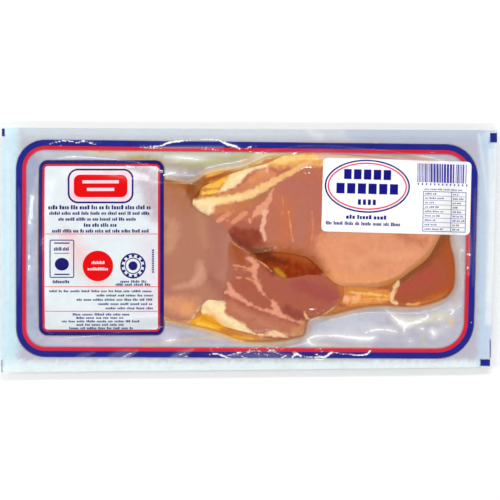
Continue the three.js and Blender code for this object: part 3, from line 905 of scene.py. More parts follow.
MIDDLE_MARKS = [
    patch(tone(176, 110, 92), 0.95, 2.8, [
        (-16, 0), (-10.4, -6), (-9.4, -12), (-9.6, -18), (-12, -22), (-13, -27), (-20, -29), (-24, -20),
        (-20, 0)]),
    stroke(tone(164, 80, 36), 0.9, 1.6, [(-7.4, 1.8, 4.4), (-5.4, -2.6, 6.4), (-4.4, -6.4, 4.4)]),
    stroke(tone(168, 100, 50), 0.7, 0.8, [(-10.3, 3.8, 1.2), (-10.2, -1, 1.6), (-9.6, -6, 1.2)]),
    patch(LEAN_PINK, 0.95, 1.4, [
        (-14, -27.6), (-9, -28.4), (-2, -31.4), (6, -35), (13, -36.6), (20, -39.4), (27, -41.6),
        (28, -46.6), (10, -47), (-6, -42), (-14, -36)]),
    stroke(tone(202, 134, 106), 0.6, 1.6, [
        (-8, -32.6, 2.6), (0, -36.4, 3), (8, -40, 3), (16, -43.2, 2.6)]),
    stroke(tone(176, 96, 76), 0.6, 0.8, [(0.6, -38.6, 1.4), (3.4, -38.2, 1.4)]),
    stroke(tone(178, 104, 84), 0.7, 1.2, [(-8, -12, 2.4), (-3, -12.4, 2.8), (1, -13, 2)]),
    stroke(tone(142, 62, 54), 0.8, 2.0, [(20.4, -33.1, 5), (25.8, -35.9, 6), (29.6, -37.4, 3.6)]),
    stroke(LEAN_PURPLE, 0.85, 3.0, [(26, -19, 5), (36.7, -22.5, 8), (43.2, -25.2, 8), (47.2, -27, 5)]),
    stroke(tone(176, 90, 78), 0.6, 1.6, [(10, -14, 3), (18, -22, 3.4), (26, -28, 3)]),
    stroke(tone(120, 50, 24), 0.75, 1.3, [(1.2, -3.6, 1.4), (8, -8.2, 2.2), (13.4, -13.2, 2.2)]),
    stroke(MARBLE, 0.92, 0.8, [
        (-1.4, -4.6, 1.6), (1.8, -5.4, 3.0), (3.4, -8.2, 3.8), (3.0, -12.1, 2.8), (3.9, -16.6, 2.8),
        (6.1, -21.2, 1.8), (7.9, -24.2, 1.1)], 1.3),
    stroke(MARBLE, 0.6, 0.5, [(7.9, -24.2, 0.9), (10.4, -26.4, 0.8), (12.7, -28.2, 1.2)], 1.2),
    stroke(MARBLE, 0.92, 0.8, [
        (12.7, -28.0, 1.6), (14.9, -31.4, 3.6), (17.6, -35.3, 2.8), (22.4, -37.9, 1.7),
        (26, -39.2, 1.3), (29.7, -40.1, 1.1)], 1.3),
    stroke(MARBLE_WARM, 0.85, 0.4, [(-9.1, -8.2, 0.7), (-4.2, -9.2, 0.9), (1.4, -10.6, 1.6)]),
    stroke(MARBLE_WARM, 0.6, 0.4, [(-7.6, -10.6, 0.5), (-3.2, -10.9, 0.7), (1.4, -11.6, 1.2)]),
    stroke(MARBLE_WARM, 0.85, 0.4, [(-6.6, -15.3, 0.7), (-1.8, -15.3, 0.9), (2.4, -16.9, 1.6)]),
    stroke(MARBLE, 0.92, 0.8, [
        (-11.6, -17.6, 0.9), (-10.6, -19.2, 1.4), (-9.4, -22.8, 3.0), (-5.0, -26.4, 2.0),
        (-0.2, -29.6, 1.5), (7.9, -32.9, 1.3), (13.5, -34.2, 1.6), (17.6, -35.6, 2.0)], 1.3),
    stroke(MARBLE, 0.9, 0.8, [(-14.4, -24.0, 0.7), (-11.8, -23.4, 1.8), (-9.2, -24.2, 2.6)], 1.2),
    stroke(tone(236, 152, 106), 0.9, 0.35, [
        (-9.4, 4.8, 0.7), (-6.7, 2.8, 1.1), (-2.6, 0.4, 0.8), (0.9, -2.1, 0.9), (2.4, -3.9, 0.8),
        (8.6, -8.2, 0.8), (12.4, -11.6, 0.7)]),
    stroke(tone(204, 142, 98), 0.9, 1.6, [(24.8, -45.4, 4.4), (29.2, -42.8, 4.6), (30.2, -39.4, 2.2)]),
    stroke(tone(232, 176, 126), 0.6, 1.0, [(20, -46.4, 1.6), (25, -46.9, 1.6), (29.6, -45.6, 1.2)]),
    patch(tone(243, 164, 8), 1.0, 0.9, [
        (-27.6, -33.6), (-20.6, -33.4), (-16, -38), (-10, -41.4), (-2, -44.6), (-2, -47.6), (-14, -44),
        (-26, -39.6)]),
    patch(CREAM, 1.0, 0.9, [
        (-25.8, -30.8), (-22, -26.6), (-17.6, -27.2), (-13.4, -28.8), (-12.9, -34.6), (-7.4, -38.2),
        (-2.4, -40.6), (-0.6, -43.2), (4, -46.4), (-4.2, -45.3), (-10.4, -42.9), (-15.5, -40.2),
        (-19.6, -35.4), (-23.6, -35.2), (-27.0, -35.1)], 0.9),
    stroke(CREAM_WARM, 0.8, 1.2, [
        (-24, -31.6, 2), (-21.6, -34, 2.2), (-16, -38.6, 2), (-10, -42.3, 1.8)]),
    stroke(CREAM_WARM, 0.9, 0.7, [(3, -46.4, 1.6), (7.2, -47.0, 2), (10, -46.4, 2)]),
    stroke(tone(252, 212, 168), 0.95, 0.6, [
        (11, -45.8, 2), (14.6, -46.2, 3.2), (18.6, -47.2, 2.2), (21, -47.9, 1.2)]),
    stroke(ORANGE_FAT, 0.95, 0.4, [
        (30.4, -34.1, 0.9), (31.8, -37.4, 1.2), (35.2, -38.3, 1.4), (40.6, -36.0, 1.3),
        (47.9, -31.3, 1.6)]),
    stroke(tone(206, 116, 56), 0.85, 1.3, [
        (49.6, -18.4, 2), (51.3, -22.2, 2.6), (51.0, -27.5, 2.8), (48, -30.6, 2.2)]),
]
TOP_MARKS = [
    stroke(tone(184, 110, 97), 0.7, 5.0, [(14.9, 36, 8), (24, 35, 12), (34, 32, 14), (36, 20, 8)]),
    stroke(tone(180, 117, 100), 0.7, 2.6, [(28.5, 24, 5), (28.5, 10, 6), (27, 1.6, 4)]),
    stroke(tone(180, 117, 100), 0.5, 2.2, [(11.6, 6, 2.4), (12, 16, 2.4), (13, 24, 2)]),
    patch(SALMON, 1.0, 4.6, [
        (40.5, 9.6), (50.1, 14.1), (83.1, 15.8), (108, 12), (106, 2.8), (100, -3.9), (91, -11.6),
        (82, -18.5), (72.6, -22), (57.2, -22), (47, -20.5), (39.5, -12.4), (36.6, -1.1)]),
    stroke(SALMON_WARM, 0.8, 3.0, [
        (43.6, -10.4, 4), (52.8, -15.4, 5), (63.8, -16.4, 5.6), (74.8, -15.6, 4)]),
    stroke(tone(232, 150, 112), 0.6, 3.0, [(40, 4, 5), (44, -4, 6), (50, -10, 6)]),
    stroke(tone(190, 110, 78), 0.75, 3.0, [(83, 8.6, 4), (89.7, 5.6, 5), (96.5, 4.6, 3.3)]),
    stroke(tone(212, 132, 98), 0.5, 3.0, [(55, 2, 3), (63, -2, 4), (70, -8, 3)]),
    stroke(tone(236, 166, 128), 0.5, 2.6, [(58, -8, 4), (70, -2, 5), (82, -4, 5), (92, -2, 4)]),
    stroke(tone(182, 118, 98), 0.95, 2.0, [(-21, 17, 3), (-16.6, 12.6, 4.6), (-12.4, 9.4, 4)]),
    patch(tone(176, 98, 78), 0.9, 1.6, [
        (-9.4, 9.6), (-6, 16.5), (0.6, 15.4), (4.5, 18.5), (8, 14.4), (8.2, 6.9), (12.4, 0.6),
        (8, -0.4), (0.6, -1.7), (-5.5, 2.6)]),
    patch(LEAN_DARK, 0.95, 1.5, [
        (-11.2, 10.0), (-8, 12.6), (-3, 11.2), (2.4, 12), (6.6, 9.9), (7.6, 3.9), (10.4, -0.6),
        (2.6, -1.8), (-4.5, 1.6), (-9, 5.4)]),
    # Darkest lean along the top rasher's lower edge, deepened as painted shadow
    stroke(LEAN_DEEP_IN_SHADOW, 0.85, 1.7, [
        (-9.6, 8.2, 2.4), (-6.6, 5.4, 3), (-2.4, 2.6, 3.4), (1.6, 0.4, 3), (7, -0.6, 2)]),
    stroke(tone(206, 132, 84), 0.95, 1.2, [(-18, 21.6, 4), (-13.6, 22.4, 5), (-9, 23.2, 5)]),
    stroke(LEAN_BROWN, 0.9, 1.2, [(-8, 22.6, 5), (-3, 24.6, 5.4), (3.8, 28.2, 4.6)]),
    stroke(tone(176, 116, 76), 0.8, 0.9, [(2, 27, 2.4), (6.6, 29.4, 3), (10.4, 32, 2)]),
    stroke(MARBLE_WARM, 0.95, 0.6, [(-17.9, 15.2, 1.7), (-14, 18.4, 3), (-9.4, 20.8, 2.2)], 1.4),
    stroke(MARBLE, 0.7, 0.4, [(-17.6, 15.8, 0.9), (-14.8, 16.8, 1.2), (-11, 15.8, 0.8)]),
    stroke(MARBLE_WARM, 0.95, 0.6, [(-9.2, 15.2, 1.7), (-5.2, 18.0, 3), (-1.4, 20.4, 2.0)], 1.4),
    stroke(MARBLE, 0.85, 0.45, [(0.8, 15.0, 1.4), (0.3, 16.9, 1.4)]),
    stroke(MARBLE, 0.95, 0.6, [
        (2.2, 18.2, 1.6), (5.0, 21.2, 4.2), (8.0, 23.4, 5.0), (10.2, 26.6, 3.4), (11.6, 29.4, 2.0),
        (13.2, 33.8, 1.1)], 1.4),
    stroke(tone(240, 184, 158), 0.95, 0.5, [
        (8.8, 20.6, 3.0), (8.2, 15.4, 1.6), (7.4, 11.6, 2.8), (8.0, 8.8, 2.2), (8.8, 5.4, 1.0)], 1.3),
    stroke(tone(204, 114, 76), 0.8, 1.8, [
        (18.2, 26.8, 3), (20.5, 18.7, 4.4), (19.4, 10.1, 3.9), (17, 3, 3)]),
    stroke(tone(240, 160, 116), 0.8, 0.35, [(21.7, 20.9, 0.6), (22.8, 13.2, 0.7), (24.2, 5, 0.6)]),
    stroke(SALMON, 0.5, 0.35, [(18.2, 29.7, 0.6), (18.7, 24.2, 0.7), (18.2, 19.8, 0.5)]),
    stroke(SALMON, 0.45, 0.5, [(34.7, 20.9, 0.6), (35.2, 13.2, 1.0), (34.1, 4.4, 0.6)]),
    stroke(tone(255, 202, 114), 1.0, 1.2, [
        (6, 48, 4), (12, 49.3, 6), (20, 49.8, 7.4), (28.1, 50, 7.6), (38, 50, 7), (50.1, 50.6, 5),
        (70, 50.5, 3)], 1.5),
    stroke(tone(252, 208, 132), 0.8, 0.9, [(14, 50.4, 1.6), (22, 50.6, 2), (29, 51.6, 1.6)], 1.5),
    stroke(tone(222, 148, 88), 0.75, 1.1, [
        (12, 47.0, 1.6), (17.6, 45.4, 2.6), (24, 47.4, 1.6), (31, 48.0, 2.4), (38, 48.6, 3)], 1.5),
    stroke(tone(220, 178, 176), 0.9, 1.6, [(38, 51.8, 3), (48, 51.4, 4), (64, 51.6, 4), (84, 50, 4)]),
    stroke(tone(240, 214, 150), 0.85, 0.8, [
        (-2, 44.8, 1.4), (5, 46.8, 1.8), (12, 49.4, 1.8), (19, 51.6, 1.6)]),
    patch(tone(206, 132, 56), 0.95, 1.0, [
        (-30.6, 28.6), (-27.8, 34), (-22, 37.6), (-14, 41), (-8, 42.6), (-9.6, 37), (-14, 33.4),
        (-18, 30.4), (-24, 29)]),
    # Painted shadow: a dark orange line below the folded gold fat
    stroke(tone(170, 84, 8), 0.9, 0.9, [
        (-25, 36.8, 1.6), (-20, 38.6, 2.4), (-15, 40.6, 2.0), (-12.2, 41.6, 1.2)]),
    stroke(tone(255, 190, 62), 1.0, 0.7, [
        (-26.4, 35.0, 2.0), (-21.6, 35.4, 2.8), (-17, 36.6, 3.0), (-13.4, 38.8, 2.6)], 1.0),
    stroke(tone(246, 186, 84), 0.8, 0.5, [(-22, 34.4, 1.0), (-17, 34.9, 1.4), (-14, 36.0, 1.2)]),
    stroke(tone(196, 130, 40), 0.9, 0.5, [(-26.8, 33.1, 0.9), (-22, 33.2, 1.0), (-18.4, 33.4, 0.8)]),
    stroke(tone(254, 200, 88), 1.0, 0.7, [
        (-26.6, 31.2, 2.0), (-22, 31.5, 2.2), (-17.6, 32.2, 1.8)], 1.0),
    stroke(tone(166, 98, 24), 0.9, 0.8, [(-27, 28.9, 1.6), (-20.5, 29.6, 1.4), (-13, 29.9, 1.0)]),
    # Painted shadow: dark brown at the top rasher's left tip
    stroke(tone(132, 58, 14), 1.0, 1.3, [(-29.4, 28.8, 3.4), (-28.4, 31.6, 3.8), (-28.2, 34.2, 2.8)]),
    patch(CREAM, 0.98, 0.8, [
        (-17, 31.6), (-14.2, 35.4), (-11.8, 38.8), (-9.4, 42.2), (-6.8, 43.6), (-1.1, 44.6),
        (4.4, 46.6), (10.4, 47.6), (10.4, 45.4), (4.4, 44.2), (-0.4, 42.0), (-3, 38.8), (-6, 36.0),
        (-10.5, 33.4)], 1.0),
    stroke(tone(250, 216, 120), 0.7, 0.9, [
        (-12.6, 37.2, 1.6), (-9.2, 41.6, 1.8), (-3.4, 44.2, 1.4), (3, 46.3, 1.2)]),
    patch(LENS, 1.0, 0.7, [
        (-19.6, 30.4), (-9.6, 32.6), (-3, 36.6), (2.5, 41.7), (7.3, 44.6), (11.4, 44.0), (15.6, 41.4),
        (8.1, 37.1), (0.7, 32.4), (-8.5, 30.6), (-17.7, 29.4)], 1.2),
    stroke(tone(200, 118, 90), 0.6, 0.9, [(-10.4, 31.8, 1.2), (-5, 33.2, 1.8), (0, 35.6, 1.8)]),
    stroke(tone(228, 150, 92), 0.7, 1.0, [(0.7, 38.0, 1.8), (4.4, 40.2, 2.4), (8, 42.4, 2.4)]),
    stroke(tone(248, 196, 150), 0.7, 0.4, [(8.8, 45.2, 0.6), (10.2, 43.0, 0.8), (10.6, 41.2, 0.6)]),
    stroke(CREAM_WARM, 1.0, 0.7, [
        (-29.8, 26.4, 2.4), (-22.6, 26.8, 4.6), (-13.2, 27.5, 4.4), (-4.4, 29.2, 4.6), (2.2, 31.5, 4.6),
        (7.2, 34.1, 4.4), (11.8, 36.6, 3.8), (16.9, 39.2, 3.2), (22, 42.2, 2.8), (27, 45.1, 2.4),
        (33.6, 48.4, 1.7)], 1.2),
    stroke(tone(242, 182, 118), 0.85, 0.8, [
        (14, 38.4, 2.4), (20, 41.4, 2.2), (27, 45.1, 2.0), (33.6, 48.4, 1.6)]),
    stroke(CREAM, 0.4, 0.8, [(-28, 26.2, 1.6), (-16, 27.2, 1.8), (-4, 29.0, 2.0), (5, 32.6, 2.0)]),
    patch(tone(252, 224, 178), 0.95, 1.3, [
        (-30.6, 26.8), (-24.8, 28.2), (-16.0, 27.6), (-18.2, 24.6), (-20.4, 20.6), (-22.6, 19.8),
        (-27.8, 22.6)], 1.2),
    stroke(tone(250, 216, 160), 0.8, 0.9, [(-24, 27.2, 3), (-14, 27.8, 3.4), (-5, 29.4, 3.4)], 1.2),
    stroke(tone(232, 190, 104), 0.6, 0.7, [
        (-30, 27.8, 1.0), (-24, 28.8, 1.2), (-14, 29.4, 1.0), (-4, 31.2, 0.8)]),
    # Painted shadow: more dark brown at the top rasher's left tip
    stroke(tone(124, 54, 14), 0.95, 1.0, [(-30.2, 29.6, 2.4), (-29.6, 31.6, 2.6), (-28.6, 33.6, 2)]),
    stroke(tone(204, 130, 54), 0.85, 2.0, [
        (56, -20, 2), (72.6, -19.4, 2.6), (82, -16.1, 3.0), (89.1, -11.1, 3.2), (97.9, -4.2, 2.6),
        (103.6, 4.6, 2.2), (108, 16, 1.8)]),
    stroke(tone(204, 128, 54), 0.8, 1.2, [(72.0, -18.6, 2), (77.5, -17.6, 3), (82, -15.4, 2)]),
    # Painted shade: a wide brownish band along the top rasher's lower edge, fading into the shaded
    # hollow
    stroke(tone(176, 100, 62), 0.9, 3.2, [
        (5, 0.2, 4), (14, -0.4, 7), (23, -1.8, 7.4), (32, -4.0, 7.4), (38, -8.0, 7), (42, -13.6, 4)]),
    stroke(tone(170, 82, 18), 1.0, 2.2, [
        (10, -1.4, 2), (16, -1.8, 4), (24, -2.8, 5), (32, -5.2, 5), (37, -9.4, 4.6), (41.6, -14.2, 3)]),
    # Painted shadow: dark brown at the left end of that edge
    stroke(tone(126, 60, 26), 1.0, 1.8, [(1, -0.8, 3), (7, -1.0, 4), (12.6, -1.6, 3)]),
    stroke(tone(222, 142, 72), 0.8, 1.3, [(42.4, -14, 2.6), (48, -18.4, 2.6), (56, -20.2, 2.0)]),
]
RIGHT_MARKS = [
    stroke(tone(172, 82, 40), 0.85, 3.4, [(106, 16, 9), (108, 5, 9), (108.6, -3, 7)]),
    stroke(tone(182, 78, 66), 0.8, 4.0, [(86.7, -20.2, 7), (93.2, -17.5, 9), (99.7, -13.2, 8)]),
    stroke(tone(180, 82, 22), 0.95, 2.0, [
        (110.4, 20, 4), (110.9, 6, 4.4), (112.2, -3.3, 5), (112.6, -12.1, 5.4), (111.6, -19.8, 5.6),
        (107.4, -24.6, 5.4)]),
    stroke(tone(198, 104, 28), 0.95, 1.8, [
        (108.0, -25.0, 4.6), (101.4, -27.6, 5.2), (95.6, -29.2, 4.4), (92, -30.0, 3)]),
    # Painted shadow: dark amber on the right rasher beside the top rasher's eye
    stroke(tone(150, 78, 28), 0.9, 2.2, [
        (79, -18.6, 2.4), (84.6, -16.0, 4), (92, -10.8, 5), (99.2, -4.2, 5), (104.6, 3, 5),
        (108, 12, 4)]),
    stroke(tone(206, 150, 46), 0.9, 1.2, [(55, -20.6, 2), (59.6, -21.4, 3), (64, -21.8, 2)]),
    stroke(tone(168, 92, 48), 0.8, 1.3, [(82.4, -29.6, 2.6), (87.6, -30.4, 3), (93, -30.6, 2.4)]),
    stroke(BAND_ORANGE, 1.0, 1.0, [
        (44, -24, 9), (53.4, -25.2, 10), (61.1, -25.6, 11), (70, -25.6, 9), (76, -25.2, 6)]),
    stroke(tone(206, 112, 34), 0.8, 1.3, [(70, -20.2, 2), (74.6, -19.2, 3), (79, -19.2, 2)]),
    stroke(tone(212, 118, 52), 0.75, 1.1, [
        (50.6, -22.6, 2.4), (51, -28.6, 2.6), (57, -30.4, 2.6), (66, -29.8, 2.4), (76, -28.6, 2.2)]),
    stroke(tone(252, 184, 146), 0.95, 0.9, [(53.0, -27, 3.6), (53.8, -26.8, 3.6)]),
    stroke(tone(252, 180, 134), 0.95, 0.9, [(58.4, -26.6, 3.6), (59.6, -26.6, 3.8)]),
    # Painted highlights: pale yellow lines across the orange band
    stroke(tone(252, 202, 126), 0.8, 0.4, [
        (55.4, -23.2, 0.8), (62.1, -24, 1.1), (70, -24.6, 1), (77.4, -25.4, 0.8)]),
    stroke(tone(250, 194, 110), 0.7, 0.4, [(62.8, -27.4, 0.9), (70.2, -26.8, 1), (78, -27.4, 0.8)]),
    stroke(CREAM_WARM, 0.5, 0.4, [(56.4, -29.0, 0.7), (63.2, -28.6, 0.8), (72.2, -28.2, 0.7)]),
    stroke(AMBER, 0.85, 0.8, [(47.3, -33, 2), (56.7, -31.8, 2.2), (67.1, -30.8, 2), (78.7, -30.6, 1.6)]),
    stroke(tone(251, 206, 152), 1.0, 0.6, [
        (82.0, -17.6, 1.4), (80.2, -21.0, 2.0), (78.9, -24.4, 2.6), (78.4, -27.9, 2.0),
        (81.0, -29.6, 1.4)], 1.3),
    stroke(tone(246, 184, 104), 0.9, 0.6, [
        (87.4, -29.8, 1.4), (90.4, -30.8, 2.0), (93.8, -29.6, 1.4)], 1.3),
]
STACK_MARKS = [
    # Painted shade: the hollow's orange fat and juice, darkened as if in shadow under the rashers round
    # it
    patch(HOLLOW_SHADED_ORANGE, 1.0, 2.0, [
        (8, 0.4), (19.8, 0.4), (30.2, -1.4), (38.4, -5.2), (42.4, -11), (36, -15.8), (23.1, -17.3),
        (14.8, -15.7), (8, -9.8), (2, -3.4)]),
    # Painted shadow under the top rasher's lower edge, in the hollow
    stroke(HOLLOW_SHADOW_BROWN, 0.9, 2.0, [(2.2, -2.0, 3), (9, -3.4, 4.6), (14.6, -5.4, 4), (20, -6.4, 2)]),
    stroke(tone(172, 82, 14), 0.8, 2.0, [(16, -2.4, 3), (26, -4.0, 3.6), (33, -7.0, 3)]),
    stroke(tone(196, 136, 24), 0.95, 1.0, [(14.4, -10.2, 1.8), (16.6, -12.6, 3.0), (19.2, -14.6, 2.0)]),
    patch(GOLD, 1.0, 0.8, [
        (-33.6, -40.6), (-29.6, -37.4), (-24, -36.0), (-17.9, -39.4), (-12.5, -42.4), (-12.5, -44.4),
        (-20.2, -45.0), (-28.4, -43.8)], 1.2),
    stroke(GOLD_DEEP, 0.8, 1.0, [(-25.6, -37.4, 2.2), (-20.6, -38.4, 2.6), (-16.4, -40.4, 2)]),
    stroke(tone(254, 214, 92), 0.8, 0.5, [(-29, -40.6, 1.0), (-24, -41.6, 1.4), (-18.4, -42.8, 1.0)]),
    stroke(AMBER, 0.9, 0.9, [(-14.5, -43.8, 2.4), (-9.4, -45.2, 3), (-4.6, -47.2, 2.4)]),
    stroke(GOLD, 1.0, 0.7, [
        (-8.4, -48.0, 1.8), (-3.6, -49.0, 3.0), (2.2, -49.6, 3.0), (4.6, -49.6, 1.6)], 1.2),
    stroke(tone(254, 210, 84), 0.7, 0.4, [(-5.6, -48.4, 0.8), (-1, -49.2, 1.1), (2.6, -49.4, 0.8)]),
    stroke(tone(224, 162, 122), 0.9, 0.7, [(6.4, -47.4, 2.2), (6.8, -51.4, 2.2)]),
    stroke(tone(196, 144, 92), 0.9, 1.0, [(9, -49.8, 2.6), (17, -50.2, 2.8), (25, -49.8, 2.4)]),
    patch(tone(164, 92, 34), 0.95, 1.6, [
        (-40, 36), (-34, 40), (-25, 41.4), (-22, 37.4), (-27, 33), (-34, 30)]),
    # Painted shadow: a dark orange line below the folded gold fat above it
    stroke(tone(170, 82, 0), 1.0, 0.8, [
        (-24, 38.2, 2.2), (-19, 39.8, 2.8), (-14.4, 41.4, 2.4), (-10.6, 43.0, 1.4)]),
    stroke(tone(252, 196, 80), 1.0, 0.7, [
        (-23.6, 41.2, 2.0), (-18.5, 42.7, 2.4), (-14.2, 44.0, 2.2), (-9, 45.4, 1.6)], 1.0),
    stroke(tone(236, 214, 150), 0.95, 0.9, [
        (-8, 45.4, 2), (-2, 46.6, 2.6), (4, 49, 3), (10, 51.4, 2.6), (20, 53.2, 2)]),
]
BACK_MARKS = [
    stroke(CREAM, 0.95, 1.2, [(-104, -37, 6), (-60, -35, 7), (-10, -44, 8), (25, -44, 7)], 1.5),
    stroke(CREAM_WARM, 0.95, 1.4, [(-26, 36, 5), (10, 46, 8), (60, 47, 8), (100, 40, 6)], 1.5),
    stroke(MARBLE, 0.9, 0.8, [(-70, -30, 3), (-52, -8, 3), (-30, 6, 2.4), (-4, 30, 3)], 1.5),
    stroke(MARBLE, 0.85, 0.8, [
        (20, -40, 2.4), (34, -18, 3), (60, -2, 2.4), (84, 20, 3), (92, 40, 2)], 1.5),
    stroke(LEAN_DARK, 0.6, 4.0, [(-90, 4, 12), (-66, 12, 14), (-40, 22, 10)]),
    patch(SALMON, 0.85, 3.5, [(30, -20), (62, -26), (96, -22), (104, 2), (84, 12), (50, 4)]),
]
# The panel's white ink: painted shade in its grey upper right and down its right side, a pink tinge
# where the meat shows through, and a painted pale sheen line near its top
PANEL_MARKS = [
    stroke(tone(194, 176, 184), 1.0, 5.0, [(-64, 45, 9), (-55, 37, 12), (-50.5, 20, 9)]),
    stroke(tone(232, 206, 207), 1.0, 5.0, [(-99, 7, 9), (-92, -4, 11), (-84, -16, 9)]),
    stroke(tone(226, 218, 228), 0.8, 5.0, [(-57, 6, 8), (-54, -14, 8), (-56, -34, 6)]),
    stroke(tone(246, 248, 250), 0.8, 1.6, [(-72, 45, 2), (-66, 42.6, 2.6), (-56, 40, 1.6)]),
]

# The rashers that show from above, from the top down: name, level, grid pitch, base colour, marks
# and how the fibres lie along and across the pack
RASHERS = (
    ("rasher_top", "top", 0.5, LEAN_TOP, TOP_MARKS, (0.45, 1.2)),
    ("rasher_middle", "middle", 0.45, LEAN_RED, MIDDLE_MARKS, (0.8, 0.6)),
    ("rasher_left", "left", 0.6, LEAN_MAUVE, LEFT_MARKS, (0.5, 1.0)),
    ("rasher_right", "right", 0.5, LEAN_RIGHT, RIGHT_MARKS, (0.9, 0.6)),
)

# The slices below them: name, grid pitch, where each begins and ends in the stack's height, how
# far its edge is set in, base colour, marks, and whether a fringe of fat runs round it
UNDER_SLICES = (
    ("rasher_under_3", 0.8, 2 / 3, 1.0, 0.5, tone(208, 128, 66), STACK_MARKS, False),
    ("rasher_under_2", 1.8, 1 / 3, 2 / 3, 1.4, LEAN_PINK, [], True),
    ("rasher_under_1", 1.6, 0.0, 1 / 3, 2.2, LEAN_PINK, BACK_MARKS, True),
)
FRINGE_WIDTH = 4.5


def fringe(colours, x, y, path, colour, width):
    """A rim of fat along a rasher's own edge."""
    depth = depth_in(x, y, path) + 0.5 * soft_noise(x, y, 3, 61)
    return mixed(colours, colour, 1 - smooth_step(width * 0.5, width, depth))


def cut_slice(name, path, pitch, top_of, bottom_of):
    """A slab cut to a closed path, between two height functions."""
    low = path.min(0)
    size = path.max(0) - low
    obj, u, v = unit_grid(name, math.ceil(size[0] / pitch), math.ceil(size[1] / pitch))
    x = low[0] + u * size[0]
    y = low[1] + v * size[1]
    set_positions(obj, np.column_stack([x, y, np.zeros(len(x))]) * MM)
    depth = depth_in(x, y, path)
    corners = np.empty(len(obj.data.loops), np.int64)
    obj.data.loops.foreach_get("vertex_index", corners)
    outside = depth[corners].reshape(-1, 4).mean(1) <= 0
    pick_only(obj)
    bpy.ops.object.mode_set(mode="EDIT")
    bpy.ops.mesh.select_mode(type="FACE")
    bpy.ops.mesh.select_all(action="DESELECT")
    bpy.ops.object.mode_set(mode="OBJECT")
    obj.data.polygons.foreach_set("select", outside)
    bpy.ops.object.mode_set(mode="EDIT")
    bpy.ops.mesh.delete(type="FACE")
    bpy.ops.object.mode_set(mode="OBJECT")
    co = positions(obj) / MM
    rim = rim_vertices(obj.data)
    _, spots = nearest_on(co[rim, 0], co[rim, 1], path)
    co[rim, :2] = spots[:, :2]
    set_positions(obj, co * MM)
    sheet_count = len(co)
    wall = obj.modifiers.new("wall", "SOLIDIFY")
    wall.thickness = MM
    wall.offset = -1
    bpy.ops.object.modifier_apply(modifier=wall.name)
    co = positions(obj) / MM
    x = co[:sheet_count, 0]
    y = co[:sheet_count, 1]
    co[:sheet_count, 2] = top_of(x, y)
    co[sheet_count:, :2] = co[:sheet_count, :2]
    co[sheet_count:, 2] = bottom_of(x, y)
    set_positions(obj, co * MM)
    bpy.ops.object.shade_smooth_by_angle(angle=math.radians(50))
    return obj


def edge_share(x, y, path):
    """1 well inside a slice and near 0 at its very edge, along a quarter circle."""
    reach = np.clip(depth_in(x, y, path) / EDGE_ROUND, 0, 1)
    return np.maximum(np.sqrt(1 - (1 - reach) ** 2), LEAST_EDGE)


def make_rasher(name, level, pitch, base, marks, lie, material):
    """A rasher that shows from above. It fills the space up to the film and thins out to its edge, and
    what lies below it fits under it."""
    global meat_ceiling
    ceiling = meat_ceiling
    floor = lower_height + MEAT_CLEARANCE
    under = ceiling - PIECE_GAP - RASHER_THICKNESS * smooth_step(0, EDGE_TAPER, DEPTH[level])
    under = np.maximum(under, np.minimum(floor, ceiling - PIECE_GAP))
    obj = cut_slice(name, OUTLINES[level], pitch,
                    lambda x, y: read_field(ceiling, x, y),
                    lambda x, y: read_field(under, x, y))
    co = positions(obj) / MM
    set_colours(obj, "flesh", paint(co[:, 0], co[:, 1], base, marks, lie))
    obj.data.materials.append(material)
    within = smooth_step(-1.0, 0.0, DEPTH[level])
    meat_ceiling = ceiling + (under - PIECE_GAP - ceiling) * within
    return obj


def shrunk(path, inset):
    """A closed path moved inwards by an inset for each of its points."""
    spots = path[:-1]
    ahead = np.roll(spots, -1, 0) - np.roll(spots, 1, 0)
    ahead /= np.linalg.norm(ahead, axis=1)[:, None]
    side = np.column_stack([-ahead[:, 1], ahead[:, 0]])
    twice_area = np.sum(spots[:, 0] * np.roll(spots[:, 1], -1) - np.roll(spots[:, 0], -1) * spots[:, 1])
    moved = spots + side * np.sign(twice_area) * inset[:-1, None]
    return np.vstack([moved, moved[:1]])


def make_under_slices(material):
    """The rest of the stack, as three slices between the lower web and the rashers above."""
    made = []
    whole = OUTLINES["stack"]
    for seed, (name, pitch, low, high, inset, base, marks, fringed) in enumerate(UNDER_SLICES):
        wave = inset + 0.5 * soft_noise(whole[:, 0], whole[:, 1], 12, 71 + seed)
        path = shrunk(whole, wave)

        def height(x, y, share):
            bottom = read_field(lower_height, x, y) + MEAT_CLEARANCE
            top = np.maximum(read_field(meat_ceiling, x, y), bottom + LEAST_STACK)
            return bottom + (top - bottom) * share

        def top_of(x, y):
            return height(x, y, high - SLICE_GAP)

        def bottom_of(x, y):
            return height(x, y, high - (high - low) * edge_share(x, y, path))

        obj = cut_slice(name, path, pitch, top_of, bottom_of)
        co = positions(obj) / MM
        x = co[:, 0]
        y = co[:, 1]
        colours = paint(x, y, base, marks)
        if fringed:
            colours = fringe(colours, x, y, path, CREAM_WARM, FRINGE_WIDTH)
        set_colours(obj, "flesh", colours)
        obj.data.materials.append(material)
        made.append(obj)
    return made


# Marks of print: each gives the cells it needs and maps a unit grid to its place. Cells are 0.9 mm
# long, bars of small print are one cell each, and the ground between them is a share of their width.
CELL = 0.9
UNCUT = 9
GROUND = 0.38


def bar(x, y, width, height, cell=CELL):
    def place(u, v):
        return x + (u - 0.5) * width, y + (v - 0.5) * height
    return max(1, math.ceil(width / cell)), max(1, math.ceil(height / cell)), place


def oval(x, y, half_width, half_height, cell=CELL):
    def place(u, v):
        a = 2 * u - 1
        b = 2 * v - 1
        return (x + half_width * a * np.sqrt(1 - b * b / 2),
                y + half_height * b * np.sqrt(1 - a * a / 2))
    return max(4, math.ceil(2 * half_width / cell)), max(4, math.ceil(2 * half_height / cell)), place


